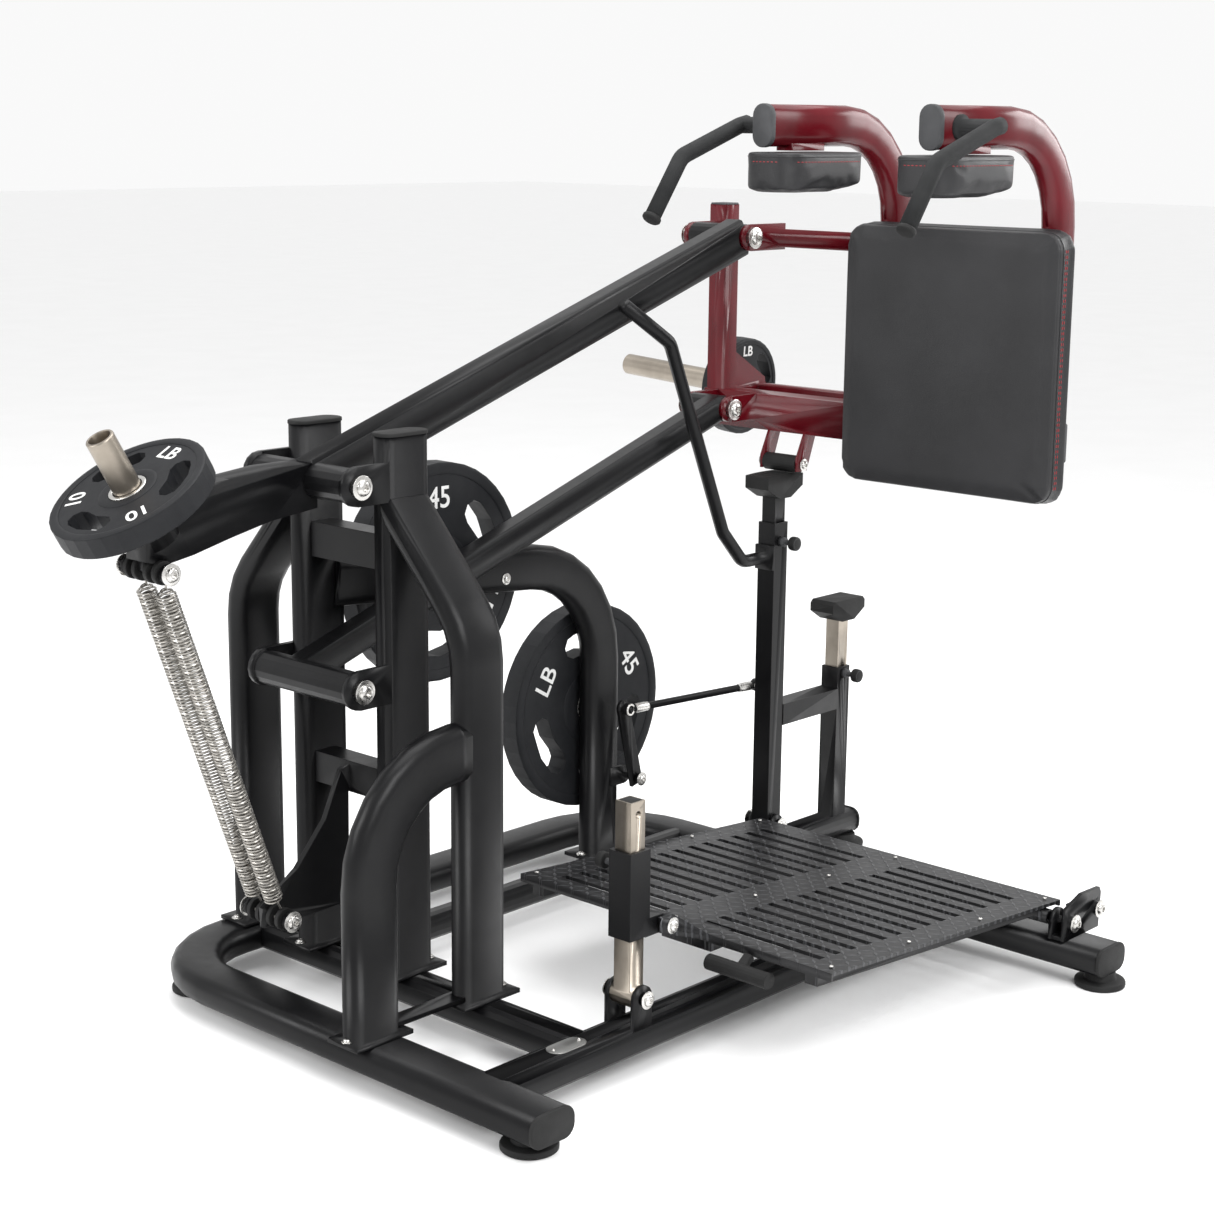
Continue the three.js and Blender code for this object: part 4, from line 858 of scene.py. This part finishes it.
bolts("plate_bolts", "plate", [(P(415, 59.5, 262), near, 10), (P(415, 160.5, 262), far, 10)])

# small bright screws on the foot plate
slope_n = Vector((56, 0, 752)).normalized()
screws = []
for y in (-180, 182, 545):
    for x in (565, 800, 1035, 1265):
        z = 207 - 56 * (x - 540) / 752
        screws.append((P(x, y, z), slope_n, 4))
bm = bmesh.new()
for at, ax, r in screws:
    hex_bolt(bm, at, ax, r, False)
finish_mesh("plate_screws", fix(bm), "bright", "plate", 40)

# rubber rollers either side of the spring hooks, on both spring pins
ROLLER = [(9, -5), (20, -5), (21, -4), (21, 4), (20, 5), (9, 5)]
for name, (x, z), body in (
    ("low_spring_rollers", SPRING_LOW, "frame"),
    ("top_spring_rollers", SPRING_TOP, "upper_arm"),
):
    bm = bmesh.new()
    for offset in ROLLER_OFFSETS:
        revolve(bm, P(x, MID_Y + offset, z), near, ROLLER, 28)
    finish_mesh(name, fix(bm), "rubber", body, 40)

# badge plate, blank
bm = bmesh.new()
slab(bm, P(196, 110, 86.1), UP, 84, 40, 1.6, 19.5, (1, 0, 0), 8, 0.5)
finish_mesh("badge", fix(bm), "badge", "frame", 40)
bolts("badge_screws", "frame", [(P(164, 110, 86.6), UP, 2.2), (P(228, 110, 86.6), UP, 2.2)])

# end discs of the grip sleeves, and the knobs of the three pull pins
for tag, gy in (("near", -125), ("far", 462)):
    d = (P(788, gy, 1478) - P(870, gy, 1590)).normalized()
    end = [(0, 0), (17, 0), (18.5, 2), (18.5, 7), (16, 9.5), (9, 10.5), (0, 10.5)]
    turned(tag + "_grip_end", P(788, gy, 1478) - d * 0.002, d, end, "rubber", "carriage", 32)
for node, ax, body in (
    ("lock_pin", near, "lock_pull"),
    ("stop_pin", near, "stop_pull"),
    ("strut_pin", far, "strut_pull"),
):
    lo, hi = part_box(node)
    at = (lo + hi) / 2
    at.y = (lo.y if ax[1] < 0 else hi.y) - ax[1] * 0.017
    knob = [(0, 0), (12, 0), (14.6, 1.4), (15.4, 4), (15.4, 13), (14.4, 16), (10, 17.6), (0, 18.2)]
    turned(node + "_knob", at, ax, knob, "rubber", body, 32)

# bright ball ends of the tie rod between the lever and the lock post
a, b = P(1017, 714, 423), P(1363, 644.5, 428)
run = (b - a).normalized()
FERRULE = [(7.6, 0), (9.5, 0), (10.4, 1), (10.4, 26), (9.6, 28), (9.6, 34), (8.3, 35.5), (7.6, 35.5)]
EYE_RING = [(8.6, -1), (13, -1), (13.4, 0), (12.4, 1.4), (9.4, 1.6), (8.6, 0.6)]
bm = bmesh.new()
for at, ax in ((a + run * 0.016, run), (b - run * 0.016, -run)):
    revolve(bm, at, ax, FERRULE, 24)
for at in (a, b):
    for side in (-1, 1):
        revolve(bm, at + Vector((0, side * 0.0062, 0)), (0, side, 0), EYE_RING, 28)
finish_mesh("link_ends", fix(bm), "bright", "link", 40)

# painted shade: a near-black sheet on the top of the solid strut tube stands in for the shaded hollow of its
# mouth
bm = bmesh.new()
slab(bm, P(355, 110, 497.05), UP, 30, 30, 0.3, 3, (1, 0, 0), 4, 0.1)
finish_mesh("strut_mouth_shade", fix(bm), "hole", "strut", 40)

# ---------------------------------------------------------------- stage, light, camera
floor_bm = bmesh.new()
bmesh.ops.create_grid(floor_bm, x_segments=2, y_segments=2, size=40)
me = bpy.data.meshes.new("floor")
floor_bm.to_mesh(me)
floor_bm.free()
floor = bpy.data.objects.new("floor", me)
bpy.context.scene.collection.objects.link(floor)
floor.location.z = -0.0005
fm, fn, fl, fb = new_mat("pale_floor", (0.86, 0.86, 0.86), 0.7)
patches = noise_tex(fn, fl, coords(fn, fl), 3, 3)
fl.new(ramp(fn, fl, patches, (0.93, 0.93, 0.93), (0.95, 0.95, 0.95)), fb.inputs["Base Color"])
me.materials.append(fm)

w = bpy.data.worlds.new("studio")
bpy.context.scene.world = w
w.use_nodes = True
bg = w.node_tree.nodes["Background"]
bg.inputs["Color"].default_value = (1, 1, 1, 1)
bg.inputs["Strength"].default_value = 0.95


def area(name, at, to, size, power):
    li = bpy.data.lights.new(name, "AREA")
    li.energy = power
    li.shape = "RECTANGLE"
    li.size = size
    li.size_y = size
    o = bpy.data.objects.new(name, li)
    o.location = at
    o.rotation_euler = (Vector(to) - Vector(at)).to_track_quat("-Z", "Y").to_euler()
    bpy.context.scene.collection.objects.link(o)
    return o


area("key", (-1.2, -3.6, 3.4), (0, 0, 0.8), 2.4, 150)
area("top", (0.2, 0.2, 4.2), (0, 0, 0.5), 3.2, 130)
area("rim", (-3.6, 1.6, 2.4), (0, 0, 0.8), 1.6, 70)
area("right", (3.8, -1.6, 2.6), (0, 0, 0.9), 2.0, 90)

YAW, PITCH, ROLL = map(math.radians, (42.6256, 12.244, 0.5518))
fwd = Vector((math.cos(PITCH) * math.cos(YAW), math.cos(PITCH) * math.sin(YAW), -math.sin(PITCH)))
right = fwd.cross(Vector((0, 0, 1))).normalized()
up = right.cross(fwd)
r = right * math.cos(ROLL) + up * math.sin(ROLL)
u = -right * math.sin(ROLL) + up * math.cos(ROLL)
cam_data = bpy.data.cameras.new("camera")
cam_data.lens = 66.83
cam_data.sensor_width = 36
cam = bpy.data.objects.new("camera", cam_data)
bpy.context.scene.collection.objects.link(cam)
rot = Matrix((r, u, -fwd)).transposed().to_4x4()
cam.matrix_world = Matrix.Translation(P(-2457, -2419, 1661)) @ rot
bpy.context.scene.camera = cam
bpy.context.scene.view_settings.view_transform = "Standard"
